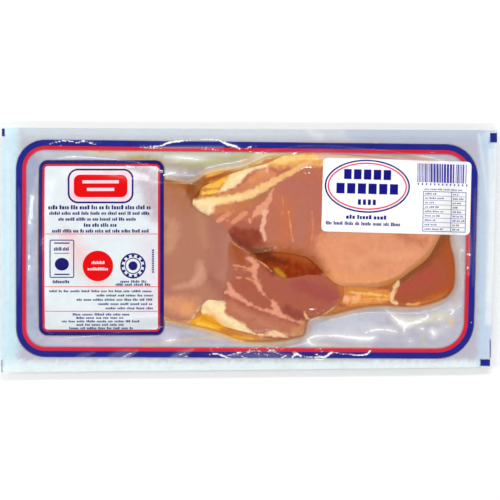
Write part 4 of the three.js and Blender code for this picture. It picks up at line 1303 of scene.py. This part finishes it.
def rounded_fill(x, y, width, height, radius, cell=CELL):
    def place(u, v):
        a = (u - 0.5) * width
        b = (v - 0.5) * height
        over_a = np.clip((np.abs(a) - width / 2 + radius) / radius, 0, 1)
        over_b = np.clip((np.abs(b) - height / 2 + radius) / radius, 0, 1)
        a = np.sign(a) * (np.abs(a) - over_a * radius * (1 - np.sqrt(1 - over_b ** 2 / 2)))
        b = np.sign(b) * (np.abs(b) - over_b * radius * (1 - np.sqrt(1 - over_a ** 2 / 2)))
        return x + a, y + b
    return max(4, math.ceil(width / cell)), max(4, math.ceil(height / cell)), place


def ribbon(path, normals, start, width, cell=0.7):
    """A line of print along a closed path, set in from it by start."""
    lengths = np.concatenate([[0], np.cumsum(np.linalg.norm(np.diff(path, axis=0), axis=1))])

    def place(u, v):
        at = u * lengths[-1]
        inset = start + (1 - v) * width
        x = np.interp(at, lengths, path[:, 0]) + inset * np.interp(at, lengths, normals[:, 0])
        y = np.interp(at, lengths, path[:, 1]) + inset * np.interp(at, lengths, normals[:, 1])
        return x, y
    return math.ceil(lengths[-1] / cell), max(1, math.ceil(width / cell)), place


def ring(x, y, half_width, half_height, width):
    turns = np.linspace(0, -2 * math.pi, 97)
    path = np.column_stack([x + half_width * np.cos(turns), y + half_height * np.sin(turns)])
    normals = -np.column_stack([np.cos(turns) * half_height, np.sin(turns) * half_width])
    normals /= np.linalg.norm(normals, axis=1)[:, None]
    return ribbon(path, normals, 0, width)


def small_print(left, right, y, height, seed, word=(1.8, 5.4), gap=0.85, part=0.66):
    """A line of small print, as short upright bars in groups."""
    draw = np.random.default_rng(seed)
    made = []
    x = left
    while x < right - part:
        end = min(x + draw.uniform(*word), right)
        while x < end:
            width = part * draw.uniform(0.75, 1.25)
            tall = height * draw.choice((0.74, 0.74, 1.0))
            made.append(bar(x + width / 2, y - (height - tall) / 2, width, tall, UNCUT))
            x += width + GROUND * part
        x += gap
    return made


def lift_marks(name, marks, surface, material, place_all=None):
    """One piece of print from many marks, laid on a height function and given a thin body."""
    deselect_all()
    for count, (columns, rows, _) in enumerate(marks):
        bpy.ops.mesh.primitive_grid_add(
            x_subdivisions=columns, y_subdivisions=rows, size=1, location=(0, 0, 0))
        if count == 0:
            obj = bpy.context.object
            bpy.ops.object.mode_set(mode="EDIT")
    bpy.ops.object.mode_set(mode="OBJECT")
    obj.name = name
    obj.data.name = name
    co = positions(obj)
    first = 0
    for columns, rows, place in marks:
        last = first + (columns + 1) * (rows + 1)
        x, y = place(co[first:last, 0] + 0.5, co[first:last, 1] + 0.5)
        if place_all:
            x, y = place_all(x, y)
        co[first:last] = np.column_stack([x, y, surface(x, y)]) * MM
        first = last
    set_positions(obj, co)
    pick_only(obj)
    bpy.ops.object.mode_set(mode="EDIT")
    bpy.ops.mesh.select_all(action="SELECT")
    bpy.ops.mesh.remove_doubles(threshold=0.002 * MM)
    bpy.ops.mesh.normals_make_consistent(inside=False)
    bpy.ops.object.mode_set(mode="OBJECT")
    up = sum(p.normal.z * p.area for p in obj.data.polygons)
    if up < 0:
        obj.data.flip_normals()
    body = obj.modifiers.new("body", "SOLIDIFY")
    body.thickness = PRINT_THICKNESS * MM
    body.offset = -1
    bpy.ops.object.modifier_apply(modifier=body.name)
    obj.data.materials.append(material)
    bpy.ops.object.shade_smooth_by_angle(angle=math.radians(40))
    return obj


def under_film(depth):
    def surface(x, y):
        return read_field(upper_height, x, y) - depth
    return surface


def on_sticker(lift):
    def surface(x, y):
        return read_field(upper_height, x, y) + STICKER_LIFT + STICKER_THICKNESS + lift
    return surface


def sticker_place(x, y):
    """From the sticker's own plane, with its middle at 0, to the pack."""
    return (STICKER_CENTRE[0] + x * math.cos(STICKER_TURN) - y * math.sin(STICKER_TURN),
            STICKER_CENTRE[1] + x * math.sin(STICKER_TURN) + y * math.cos(STICKER_TURN))


def new_material(name):
    material = bpy.data.materials.new(name)
    material.use_nodes = True
    tree = material.node_tree
    return material, tree, tree.nodes["Principled BSDF"]


def link(tree, source, target):
    tree.links.new(source, target)


def feed(tree, value, socket):
    """A socket linked to another node's output, or set to a plain number or colour."""
    if isinstance(value, bpy.types.NodeSocket):
        link(tree, value, socket)
    elif isinstance(value, tuple):
        socket.default_value = (*value, 1)
    else:
        socket.default_value = value


def object_noise(tree, scale, detail=2.0, stretch=(1, 1, 1)):
    place = tree.nodes.new("ShaderNodeTexCoord")
    mapping = tree.nodes.new("ShaderNodeMapping")
    mapping.inputs["Scale"].default_value = stretch
    noise = tree.nodes.new("ShaderNodeTexNoise")
    noise.inputs["Scale"].default_value = scale
    noise.inputs["Detail"].default_value = detail
    link(tree, place.outputs["Object"], mapping.inputs["Vector"])
    link(tree, mapping.outputs["Vector"], noise.inputs["Vector"])
    return noise.outputs["Fac"]


def ranged(tree, source, low, high):
    """A value of 0.3 to 0.7 spread over a new range."""
    node = tree.nodes.new("ShaderNodeMapRange")
    node.inputs["From Min"].default_value = 0.3
    node.inputs["From Max"].default_value = 0.7
    node.inputs["To Min"].default_value = low
    node.inputs["To Max"].default_value = high
    link(tree, source, node.inputs["Value"])
    return node.outputs["Result"]


def attribute(tree, name):
    node = tree.nodes.new("ShaderNodeAttribute")
    node.attribute_name = name
    return node


def colour_mix(tree, blend, share, first, second):
    node = tree.nodes.new("ShaderNodeMix")
    node.data_type = "RGBA"
    node.blend_type = blend
    feed(tree, share, node.inputs["Factor"])
    feed(tree, first, node.inputs[6])
    feed(tree, second, node.inputs[7])
    return node.outputs[2]


def value_math(tree, operation, first, second):
    node = tree.nodes.new("ShaderNodeMath")
    node.operation = operation
    feed(tree, first, node.inputs[0])
    feed(tree, second, node.inputs[1])
    return node.outputs[0]


def bump(tree, height, distance, strength=1.0):
    node = tree.nodes.new("ShaderNodeBump")
    node.inputs["Distance"].default_value = distance
    node.inputs["Strength"].default_value = strength
    link(tree, height, node.inputs["Height"])
    return node.outputs["Normal"]


def meat_material():
    material, tree, shader = new_material("cured_meat")
    flesh = attribute(tree, "flesh").outputs["Color"]
    blotches = ranged(tree, object_noise(tree, 260, 3), 0.0, 1.0)
    fibres = ranged(tree, object_noise(tree, 900, 2, (1, 0.35, 1)), 0.0, 1.0)
    uneven = colour_mix(tree, "MIX", blotches, (0.922, 0.948, 0.918), (0.942, 0.972, 0.942))
    thready = colour_mix(tree, "MIX", fibres, (0.98, 0.97, 0.965), (1.02, 1.025, 1.03))
    toned = colour_mix(tree, "MULTIPLY", 1.0, flesh, uneven)
    toned = colour_mix(tree, "MULTIPLY", 1.0, toned, thready)
    link(tree, toned, shader.inputs["Base Color"])
    link(tree, ranged(tree, object_noise(tree, 420, 2), 0.30, 0.46), shader.inputs["Roughness"])
    link(tree, bump(tree, object_noise(tree, 700, 3), 0.00012), shader.inputs["Normal"])
    shader.inputs["Subsurface Weight"].default_value = 0.2
    shader.inputs["Subsurface Radius"].default_value = (0.003, 0.0013, 0.0007)
    shader.inputs["Subsurface Scale"].default_value = 1.0
    shader.inputs["IOR"].default_value = 1.25
    return material


# The film's mirror share: facing the eye, for each unit of veil, and more towards grazing angles
GLOSS_FACING = 0.006
GLOSS_PER_VEIL = 0.036
GLOSS_GRAZING = 0.9
GRAZING_POWER = 5.0


def film_material(name, roughness):
    """Clear film: it lets what is behind it through, veils it a little and keeps its gloss. The painted
    white glints along its creases have ragged edges."""
    material, tree, shader = new_material(name)
    tint = attribute(tree, "tint").outputs["Color"]
    veil = attribute(tree, "veil").outputs["Fac"]
    cloud = ranged(tree, object_noise(tree, 60, 2), 0.97, 1.03)
    thicker = value_math(tree, "MULTIPLY", veil, cloud)
    # Painted glints: the crease attribute, roughened at its edge, turns the film white and opaque along
    # the creases
    rag = ranged(tree, object_noise(tree, 1000, 3), -0.12, 0.12)
    edge = value_math(tree, "ADD", attribute(tree, "crease_glint").outputs["Fac"], rag)
    white = tree.nodes.new("ShaderNodeMapRange")
    white.inputs["From Min"].default_value = 0.5
    white.inputs["From Max"].default_value = 0.66
    link(tree, edge, white.inputs["Value"])
    white = value_math(tree, "MULTIPLY", white.outputs["Result"], 0.96)
    link(tree, colour_mix(tree, "MIX", white, tint, (0.96, 0.97, 0.98)), shader.inputs["Base Color"])
    link(tree, value_math(tree, "MAXIMUM", thicker, white), shader.inputs["Alpha"])
    shader.inputs["Roughness"].default_value = 0.3
    ripple = bump(tree, object_noise(tree, 330, 2), 0.00005)
    link(tree, ripple, shader.inputs["Normal"])
    gloss = tree.nodes.new("ShaderNodeBsdfGlossy")
    gloss.inputs["Roughness"].default_value = roughness
    link(tree, ripple, gloss.inputs["Normal"])
    facing = tree.nodes.new("ShaderNodeLayerWeight")
    facing.inputs["Blend"].default_value = 0.5
    edge_on = value_math(tree, "POWER", facing.outputs["Facing"], GRAZING_POWER)
    veiled = value_math(tree, "MULTIPLY", veil, GLOSS_PER_VEIL)
    base_gloss = value_math(tree, "ADD", veiled, GLOSS_FACING)
    grazing = value_math(tree, "MULTIPLY", edge_on, GLOSS_GRAZING)
    mirrored = value_math(tree, "ADD", grazing, base_gloss)
    blend = tree.nodes.new("ShaderNodeMixShader")
    link(tree, mirrored, blend.inputs["Fac"])
    link(tree, shader.outputs["BSDF"], blend.inputs[1])
    link(tree, gloss.outputs["BSDF"], blend.inputs[2])
    link(tree, blend.outputs["Shader"], tree.nodes["Material Output"].inputs["Surface"])
    return material


def ink_material(name, colour, other, roughness=0.35):
    """Printed ink, a little uneven in strength."""
    material, tree, shader = new_material(name)
    uneven = ranged(tree, object_noise(tree, 120, 4), 0.0, 1.0)
    link(tree, colour_mix(tree, "MIX", uneven, colour, other), shader.inputs["Base Color"])
    link(tree, ranged(tree, object_noise(tree, 500, 2), roughness - 0.06, roughness + 0.06),
         shader.inputs["Roughness"])
    shader.inputs["IOR"].default_value = 1.25
    return material


def tinted_ink_material(name):
    """Printed ink whose shade is painted on the mesh."""
    material, tree, shader = new_material(name)
    tint = attribute(tree, "tint").outputs["Color"]
    uneven = ranged(tree, object_noise(tree, 300, 3), 0.0, 1.0)
    shade = colour_mix(tree, "MIX", uneven, (0.97, 0.97, 0.98), (1.02, 1.02, 1.01))
    link(tree, colour_mix(tree, "MULTIPLY", 1.0, tint, shade), shader.inputs["Base Color"])
    link(tree, ranged(tree, object_noise(tree, 500, 2), 0.3, 0.42), shader.inputs["Roughness"])
    return material


def paper_material():
    material, tree, shader = new_material("sticker_paper")
    grain = ranged(tree, object_noise(tree, 1400, 3), 0.0, 1.0)
    link(tree, colour_mix(tree, "MIX", grain, tone(250, 250, 249), tone(242, 243, 244)),
         shader.inputs["Base Color"])
    link(tree, ranged(tree, object_noise(tree, 600, 2), 0.32, 0.42), shader.inputs["Roughness"])
    link(tree, bump(tree, object_noise(tree, 1800, 2), 0.00002), shader.inputs["Normal"])
    return material


meat = meat_material()
upper_film = film_material("upper_film", 0.09)
lower_film = film_material("lower_film", 0.14)
navy_ink = ink_material("navy_ink", tone(26, 33, 124), tone(32, 39, 136))
panel_navy_ink = ink_material("panel_navy_ink", tone(24, 18, 100), tone(32, 26, 112))
red_ink = ink_material("red_ink", tone(212, 30, 56), tone(202, 38, 62))
bright_red_ink = ink_material("bright_red_ink", tone(228, 0, 8), tone(220, 2, 14))
bar_ink = ink_material("bar_ink", tone(247, 200, 212), tone(250, 222, 228))
panel_ink = tinted_ink_material("panel_ink")
paper = paper_material()
sticker_blue_ink = ink_material("sticker_blue_ink", tone(10, 6, 120), tone(18, 14, 132), 0.42)
sticker_pink_ink = ink_material("sticker_pink_ink", tone(230, 84, 116), tone(220, 74, 108), 0.42)
sticker_violet_ink = ink_material("sticker_violet_ink", tone(62, 52, 150), tone(84, 72, 178), 0.42)
sticker_fine_ink = ink_material("sticker_fine_ink", tone(88, 82, 150), tone(104, 98, 164), 0.42)

# The meat, from the top of the stack down
rashers = [make_rasher(*rasher, meat) for rasher in RASHERS]
rashers += make_under_slices(meat)
film_bag = make_film_bag(upper_film, lower_film)

# The printed frame and the printed panel, on the inner side of the upper web
panel_left = PANEL_CENTRE[0] - PANEL_SIZE[0] / 2
panel_top = PANEL_CENTRE[1] + PANEL_SIZE[1] / 2
frame_blue = lift_marks(
    "print_frame_blue", [ribbon(FRAME_PATH, FRAME_NORMALS, 0, FRAME_BLUE_WIDTH)],
    under_film(FRAME_PRINT_DEPTH), navy_ink)
frame_red = lift_marks(
    "print_frame_red",
    [ribbon(FRAME_PATH, FRAME_NORMALS, FRAME_BLUE_WIDTH, FRAME_RED_WIDTH),
     ribbon(PANEL_PATH, PANEL_NORMALS, PANEL_NAVY_WIDTH, PANEL_RED_WIDTH)],
    under_film(FRAME_PRINT_DEPTH), red_ink)
panel_white = lift_marks(
    "print_panel_white",
    [rounded_fill(*PANEL_CENTRE, PANEL_SIZE[0] - 1.5, PANEL_SIZE[1] - 1.5, PANEL_RADIUS - 0.7)],
    under_film(PANEL_DEPTH), panel_ink)
panel_spots = positions(panel_white) / MM
set_colours(panel_white, "tint",
            paint(panel_spots[:, 0], panel_spots[:, 1], tone(223, 231, 235), PANEL_MARKS, (4, 4)))

# Places on the panel, across and down from its upper left corner
PLAQUE_AT = (34.2, 14.3)
BOX_AT = (12.9, 54.3)
DISC_AT = (32.7, 58.3)
RING_AT = (52, 58.2)
LADDER_AT = (63, 55.6)
RULES_DOWN = (40.7, 69.7, 83.2)


def from_corner(across, down):
    return panel_left + across, panel_top - down


def panel_marks():
    """The panel's lines, boxes and bars, as navy and as red marks."""
    navy = [ribbon(PANEL_PATH, PANEL_NORMALS, 0, PANEL_NAVY_WIDTH)]
    red = []
    # A framed plaque, then five lines of small bars
    x, y = from_corner(*PLAQUE_AT)
    red.append(rounded_fill(x, y, 29.5, 12.4, 3.4))
    navy.append(ribbon(*turned_box((x, y), (36.2, 19.1), 5.6), 0, 1.0))
    for row, (left, right, height, part) in enumerate(
            ((5.4, 63.4, 2.3, 0.95), (6.0, 61, 1.8, 0.75), (11, 55, 1.8, 0.75),
             (25, 42, 2.0, 0.9), (7.5, 60, 1.9, 0.75))):
        x, y = from_corner(left, 26 + 3.25 * row)
        navy += small_print(x, panel_left + right, y, height, 100 + row, gap=0.75, part=part)
    # Rules across the panel
    for down in RULES_DOWN:
        x, y = from_corner(PANEL_SIZE[0] / 2, down)
        red.append(bar(x, y, PANEL_SIZE[0] - 7, 0.35))
    # A box, a disc, a ring with dots and a ladder of short bars in a row
    x, y = from_corner(*BOX_AT)
    navy.append(ribbon(*turned_box((x, y), (13.6, 21), 0.8), 0, 0.55))
    navy.append(bar(x, y + 8.6, 8.4, 0.7))
    navy += small_print(x - 4.4, x + 4.4, y + 5.4, 1.9, 110, (3, 4), 0.4)
    navy.append(bar(x, y + 3.0, 8.4, 0.35))
    navy.append(oval(x, y - 3.0, 3.9, 3.5))
    navy.append(bar(x, y - 8.6, 8.4, 0.7))
    navy += small_print(x - 5, x + 5, y - 12.6, 1.7, 111, (8, 10), 0.3)
    x, y = from_corner(*DISC_AT)
    red.append(oval(x, y, 8.4, 8.4, 0.6))
    x, y = from_corner(*RING_AT)
    navy.append(ring(x, y, 7, 7, 0.85))
    navy.append(ring(x, y, 4.5, 4.5, 0.55))
    dots = 12
    for k in range(dots):
        angle = 2 * math.pi * k / dots
        navy.append(oval(x + 5.6 * math.cos(angle), y + 5.6 * math.sin(angle), 0.78, 0.78))
    navy.append(oval(x, y, 2.5, 2.5))
    for row, width in enumerate((14, 19)):
        x, y = from_corner(RING_AT[0] - width / 2, 66.8 + 1.7 * row)
        navy += small_print(x, x + width, y, 1.3, 120 + row, part=0.75)
    x, y = from_corner(*LADDER_AT)
    for k in range(11):
        navy.append(bar(x, y + 6 - 1.2 * k, 1.2, 0.75))
    # Two blocks of small lines
    for row in range(5):
        x, y = from_corner((6, 32, 21, 33, 37)[row], 72.1 + 2.35 * row)
        navy += small_print(x, panel_left + 62.4, y, 1.2, 130 + row, part=0.66)
    for row, width in enumerate((31, 27, 43, 27, 35)):
        x, y = from_corner(34.4 - width / 2, 84.9 + 1.9 * row)
        navy += small_print(x, x + width, y, 1.25, 140 + row, part=0.66)
    return navy, red


navy_marks, red_marks = panel_marks()
panel_navy = lift_marks(
    "print_panel_navy", navy_marks, under_film(FRAME_PRINT_DEPTH), panel_navy_ink)
panel_red = lift_marks("print_panel_red", red_marks, under_film(PANEL_RED_DEPTH), bright_red_ink)
plaque_x, plaque_y = from_corner(*PLAQUE_AT)
panel_title_bars = lift_marks(
    "print_panel_bars",
    [bar(plaque_x, plaque_y + 2.3, 20, 1.7), bar(plaque_x, plaque_y - 1.9, 15, 1.7)]
    + small_print(panel_left + 29.3, panel_left + 36, panel_top - 56.4, 1.6, 190, (7, 8))
    + small_print(panel_left + 27.1, panel_left + 38.4, panel_top - 59.9, 1.6, 191, (12, 13)),
    under_film(PANEL_BAR_DEPTH), bar_ink)
panel_plaque = lift_marks(
    "print_panel_plaque", [rounded_fill(plaque_x, plaque_y, 34.4, 17.3, 4.8)],
    under_film(PLAQUE_DEPTH), bar_ink)

# Register marks near the pack's cut edge
edge_marks = lift_marks(
    "print_edge_marks", [bar(*mark) for mark in EDGE_MARKS], under_film(FRAME_PRINT_DEPTH), navy_ink)

# The sticker and its print
sticker = cut_slice(
    "price_sticker", STICKER_PATH, 0.7,
    lambda x, y: read_field(upper_height, x, y) + STICKER_LIFT + STICKER_THICKNESS,
    lambda x, y: read_field(upper_height, x, y) + STICKER_LIFT)
sticker.data.materials.append(paper)

# Places on the sticker, from its middle
OVAL_CENTRE = (-16.4, 5.2)
OVAL_HALF = (23.4, 14.6)
STRIPES_LEFT = 11.0
STRIPES_RIGHT = 38.6
STRIPES_MIDDLE_UP = 13.4
STRIPES_HEIGHT = 10.4
STRIPE = 0.42


def bold_blocks(centre, width, y, height, blocks, gap):
    """A bold line of even upright blocks."""
    block = (width - gap * (blocks - 1)) / blocks
    left = centre - width / 2
    return [bar(left + block / 2 + k * (block + gap), y, block, height, 0.8) for k in range(blocks)]


def sticker_blue_marks():
    x, y = OVAL_CENTRE
    marks = [ring(x, y, *OVAL_HALF, 0.85)]
    marks += bold_blocks(x, 25.8, y + 6.4, 5.5, 5, 1.3)
    marks += bold_blocks(x, 33.8, y - 1.4, 5.7, 6, 1.4)
    marks += bold_blocks(x, 9.8, y - 8.8, 3.0, 4, 1.1)
    marks += small_print(x - 11.2, x + 11.2, y - 17.0, 2.2, 150, (4, 9), 0.9, 1.2)
    marks += small_print(-38.6, 1.4, y - 20.6, 1.9, 151, (1.6, 5), 1.0, 0.62)
    return marks


def sticker_stripes():
    """Upright stripes of random widths with small blocks beneath them."""
    draw = np.random.default_rng(160)
    marks = []
    x = STRIPES_LEFT
    while x < STRIPES_RIGHT:
        width = STRIPE * draw.choice((1, 1, 2, 3))
        marks.append(bar(x + width / 2, STRIPES_MIDDLE_UP, width, STRIPES_HEIGHT))
        x += width + STRIPE * draw.choice((1, 1, 2))
    for k in range(13):
        marks.append(bar(11.6 + 2.25 * k, 7.2, 0.7, 1.1))
    return marks


def sticker_table():
    """A small table: its title, its outline, a divider and nine rows."""
    marks = small_print(15, 37, 4.5, 0.8, 161, (1.2, 3.4), 0.5)
    left, right, top, bottom, divider = 14.6, 38.4, 3.2, -18.6, 30.2
    line = 0.36
    row_line = 0.22
    row_height = 2.42
    middle_x = (left + right) / 2
    middle_y = (top + bottom) / 2
    for y in (top, bottom):
        marks.append(bar(middle_x, y, right - left + line, line))
    for x in (left, right, divider):
        marks.append(bar(x, middle_y, line, top - bottom))
    draw = np.random.default_rng(162)
    for row in range(9):
        y = top - 1.2 - row_height * row
        marks.append(bar(middle_x, y - 1.2, right - left, row_line))
        name_end = left + draw.uniform(7, 14)
        marks += small_print(left + 1, name_end, y, 0.85, 170 + row, (1.2, 3.6), 0.5)
        value_end = divider + draw.uniform(3, 7)
        marks += small_print(divider + 0.9, value_end, y, 0.85, 180 + row, (1.0, 2.2), 0.5)
    return marks


sticker_print = on_sticker(STICKER_PRINT_LIFT)
sticker_blue = lift_marks(
    "sticker_print_blue", sticker_blue_marks(), sticker_print, sticker_blue_ink, sticker_place)
sticker_pink = lift_marks(
    "sticker_print_pink", [ring(*OVAL_CENTRE, OVAL_HALF[0] - 1.6, OVAL_HALF[1] - 1.6, 0.8)],
    sticker_print, sticker_pink_ink, sticker_place)
sticker_violet = lift_marks(
    "sticker_print_stripes", sticker_stripes(), sticker_print, sticker_violet_ink, sticker_place)
sticker_fine = lift_marks(
    "sticker_print_table", sticker_table(), sticker_print, sticker_fine_ink, sticker_place)

# What rides on the pack, and what stands for its solids
for piece in rashers:
    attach(piece, "root")
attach(film_bag, "root")
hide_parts("sealed_pack")
for piece in (frame_blue, frame_red, panel_white, panel_navy, panel_red, panel_title_bars,
              panel_plaque, edge_marks, sticker_blue, sticker_pink, sticker_violet, sticker_fine):
    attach(piece, "root")
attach(sticker, "root")
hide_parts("sticker")

# The stage, in metres: the floor, the lamps with their places, sizes and powers in watts, the camera
# and the sky's strength low down, overhead, and where it falls off between them
FLOOR_SIZE = 6
FLOOR_DROP = 0.0004
LAMPS = (
    ("lamp_back", (0.1, 0.75, 0.95), (0.9, 0.12), 5.9),
    ("lamp_left", (-0.85, 0.1, 0.9), (0.12, 0.7), 3.9),
    ("lamp_front", (0.2, -0.7, 1.0), (0.7, 0.12), 3.9),
)
CAMERA_DISTANCE = 2.2
CAMERA_ASIDE = 0.00055
PACK_MIDDLE_UP = 0.01
PHOTO_FIELD = 0.275
SKY_LOW = 0.68
SKY_OVERHEAD = 0.05
SKY_DARK_FROM = 0.72
SKY_DARK_TO = 0.93


def make_floor():
    deselect_all()
    bpy.ops.mesh.primitive_plane_add(size=FLOOR_SIZE, location=(0, 0, -FLOOR_DROP))
    floor = bpy.context.object
    floor.name = "floor"
    material, _, shader = new_material("pale_floor")
    shader.inputs["Base Color"].default_value = (0.96, 0.96, 0.96, 1)
    shader.inputs["Roughness"].default_value = 0.7
    floor.data.materials.append(material)


def make_lamp(name, location, size, power):
    data = bpy.data.lights.new(name, "AREA")
    data.shape = "RECTANGLE"
    data.size = size[0]
    data.size_y = size[1]
    data.energy = power
    lamp = bpy.data.objects.new(name, data)
    bpy.context.scene.collection.objects.link(lamp)
    lamp.location = location
    aim = -lamp.location.normalized()
    lamp.rotation_euler = aim.to_track_quat("-Z", "Y").to_euler()


def make_camera():
    """Straight above the pack, far off with a long lens, with the photo's field of 275 mm."""
    data = bpy.data.cameras.new("camera")
    data.sensor_width = 36
    data.lens = data.sensor_width * CAMERA_DISTANCE / PHOTO_FIELD
    data.clip_end = 20
    camera = bpy.data.objects.new("camera", data)
    bpy.context.scene.collection.objects.link(camera)
    camera.location = (CAMERA_ASIDE, 0, CAMERA_DISTANCE + PACK_MIDDLE_UP)
    bpy.context.scene.camera = camera


def make_sky():
    """A white sky that darkens overhead, so that the film mirrors little of it into the camera."""
    world = bpy.data.worlds.new("studio")
    world.use_nodes = True
    tree = world.node_tree
    direction = tree.nodes.new("ShaderNodeTexCoord")
    parts = tree.nodes.new("ShaderNodeSeparateXYZ")
    link(tree, direction.outputs["Generated"], parts.inputs["Vector"])
    fall = tree.nodes.new("ShaderNodeMapRange")
    fall.interpolation_type = "SMOOTHSTEP"
    fall.inputs["From Min"].default_value = SKY_DARK_FROM
    fall.inputs["From Max"].default_value = SKY_DARK_TO
    fall.inputs["To Min"].default_value = SKY_LOW
    fall.inputs["To Max"].default_value = SKY_OVERHEAD
    link(tree, parts.outputs["Z"], fall.inputs["Value"])
    link(tree, fall.outputs["Result"], tree.nodes["Background"].inputs["Strength"])
    tree.nodes["Background"].inputs["Color"].default_value = (1, 1, 1, 1)
    bpy.context.scene.world = world


make_floor()
for lamp_plan in LAMPS:
    make_lamp(*lamp_plan)
make_camera()
make_sky()
bpy.context.scene.view_settings.view_transform = "Standard"
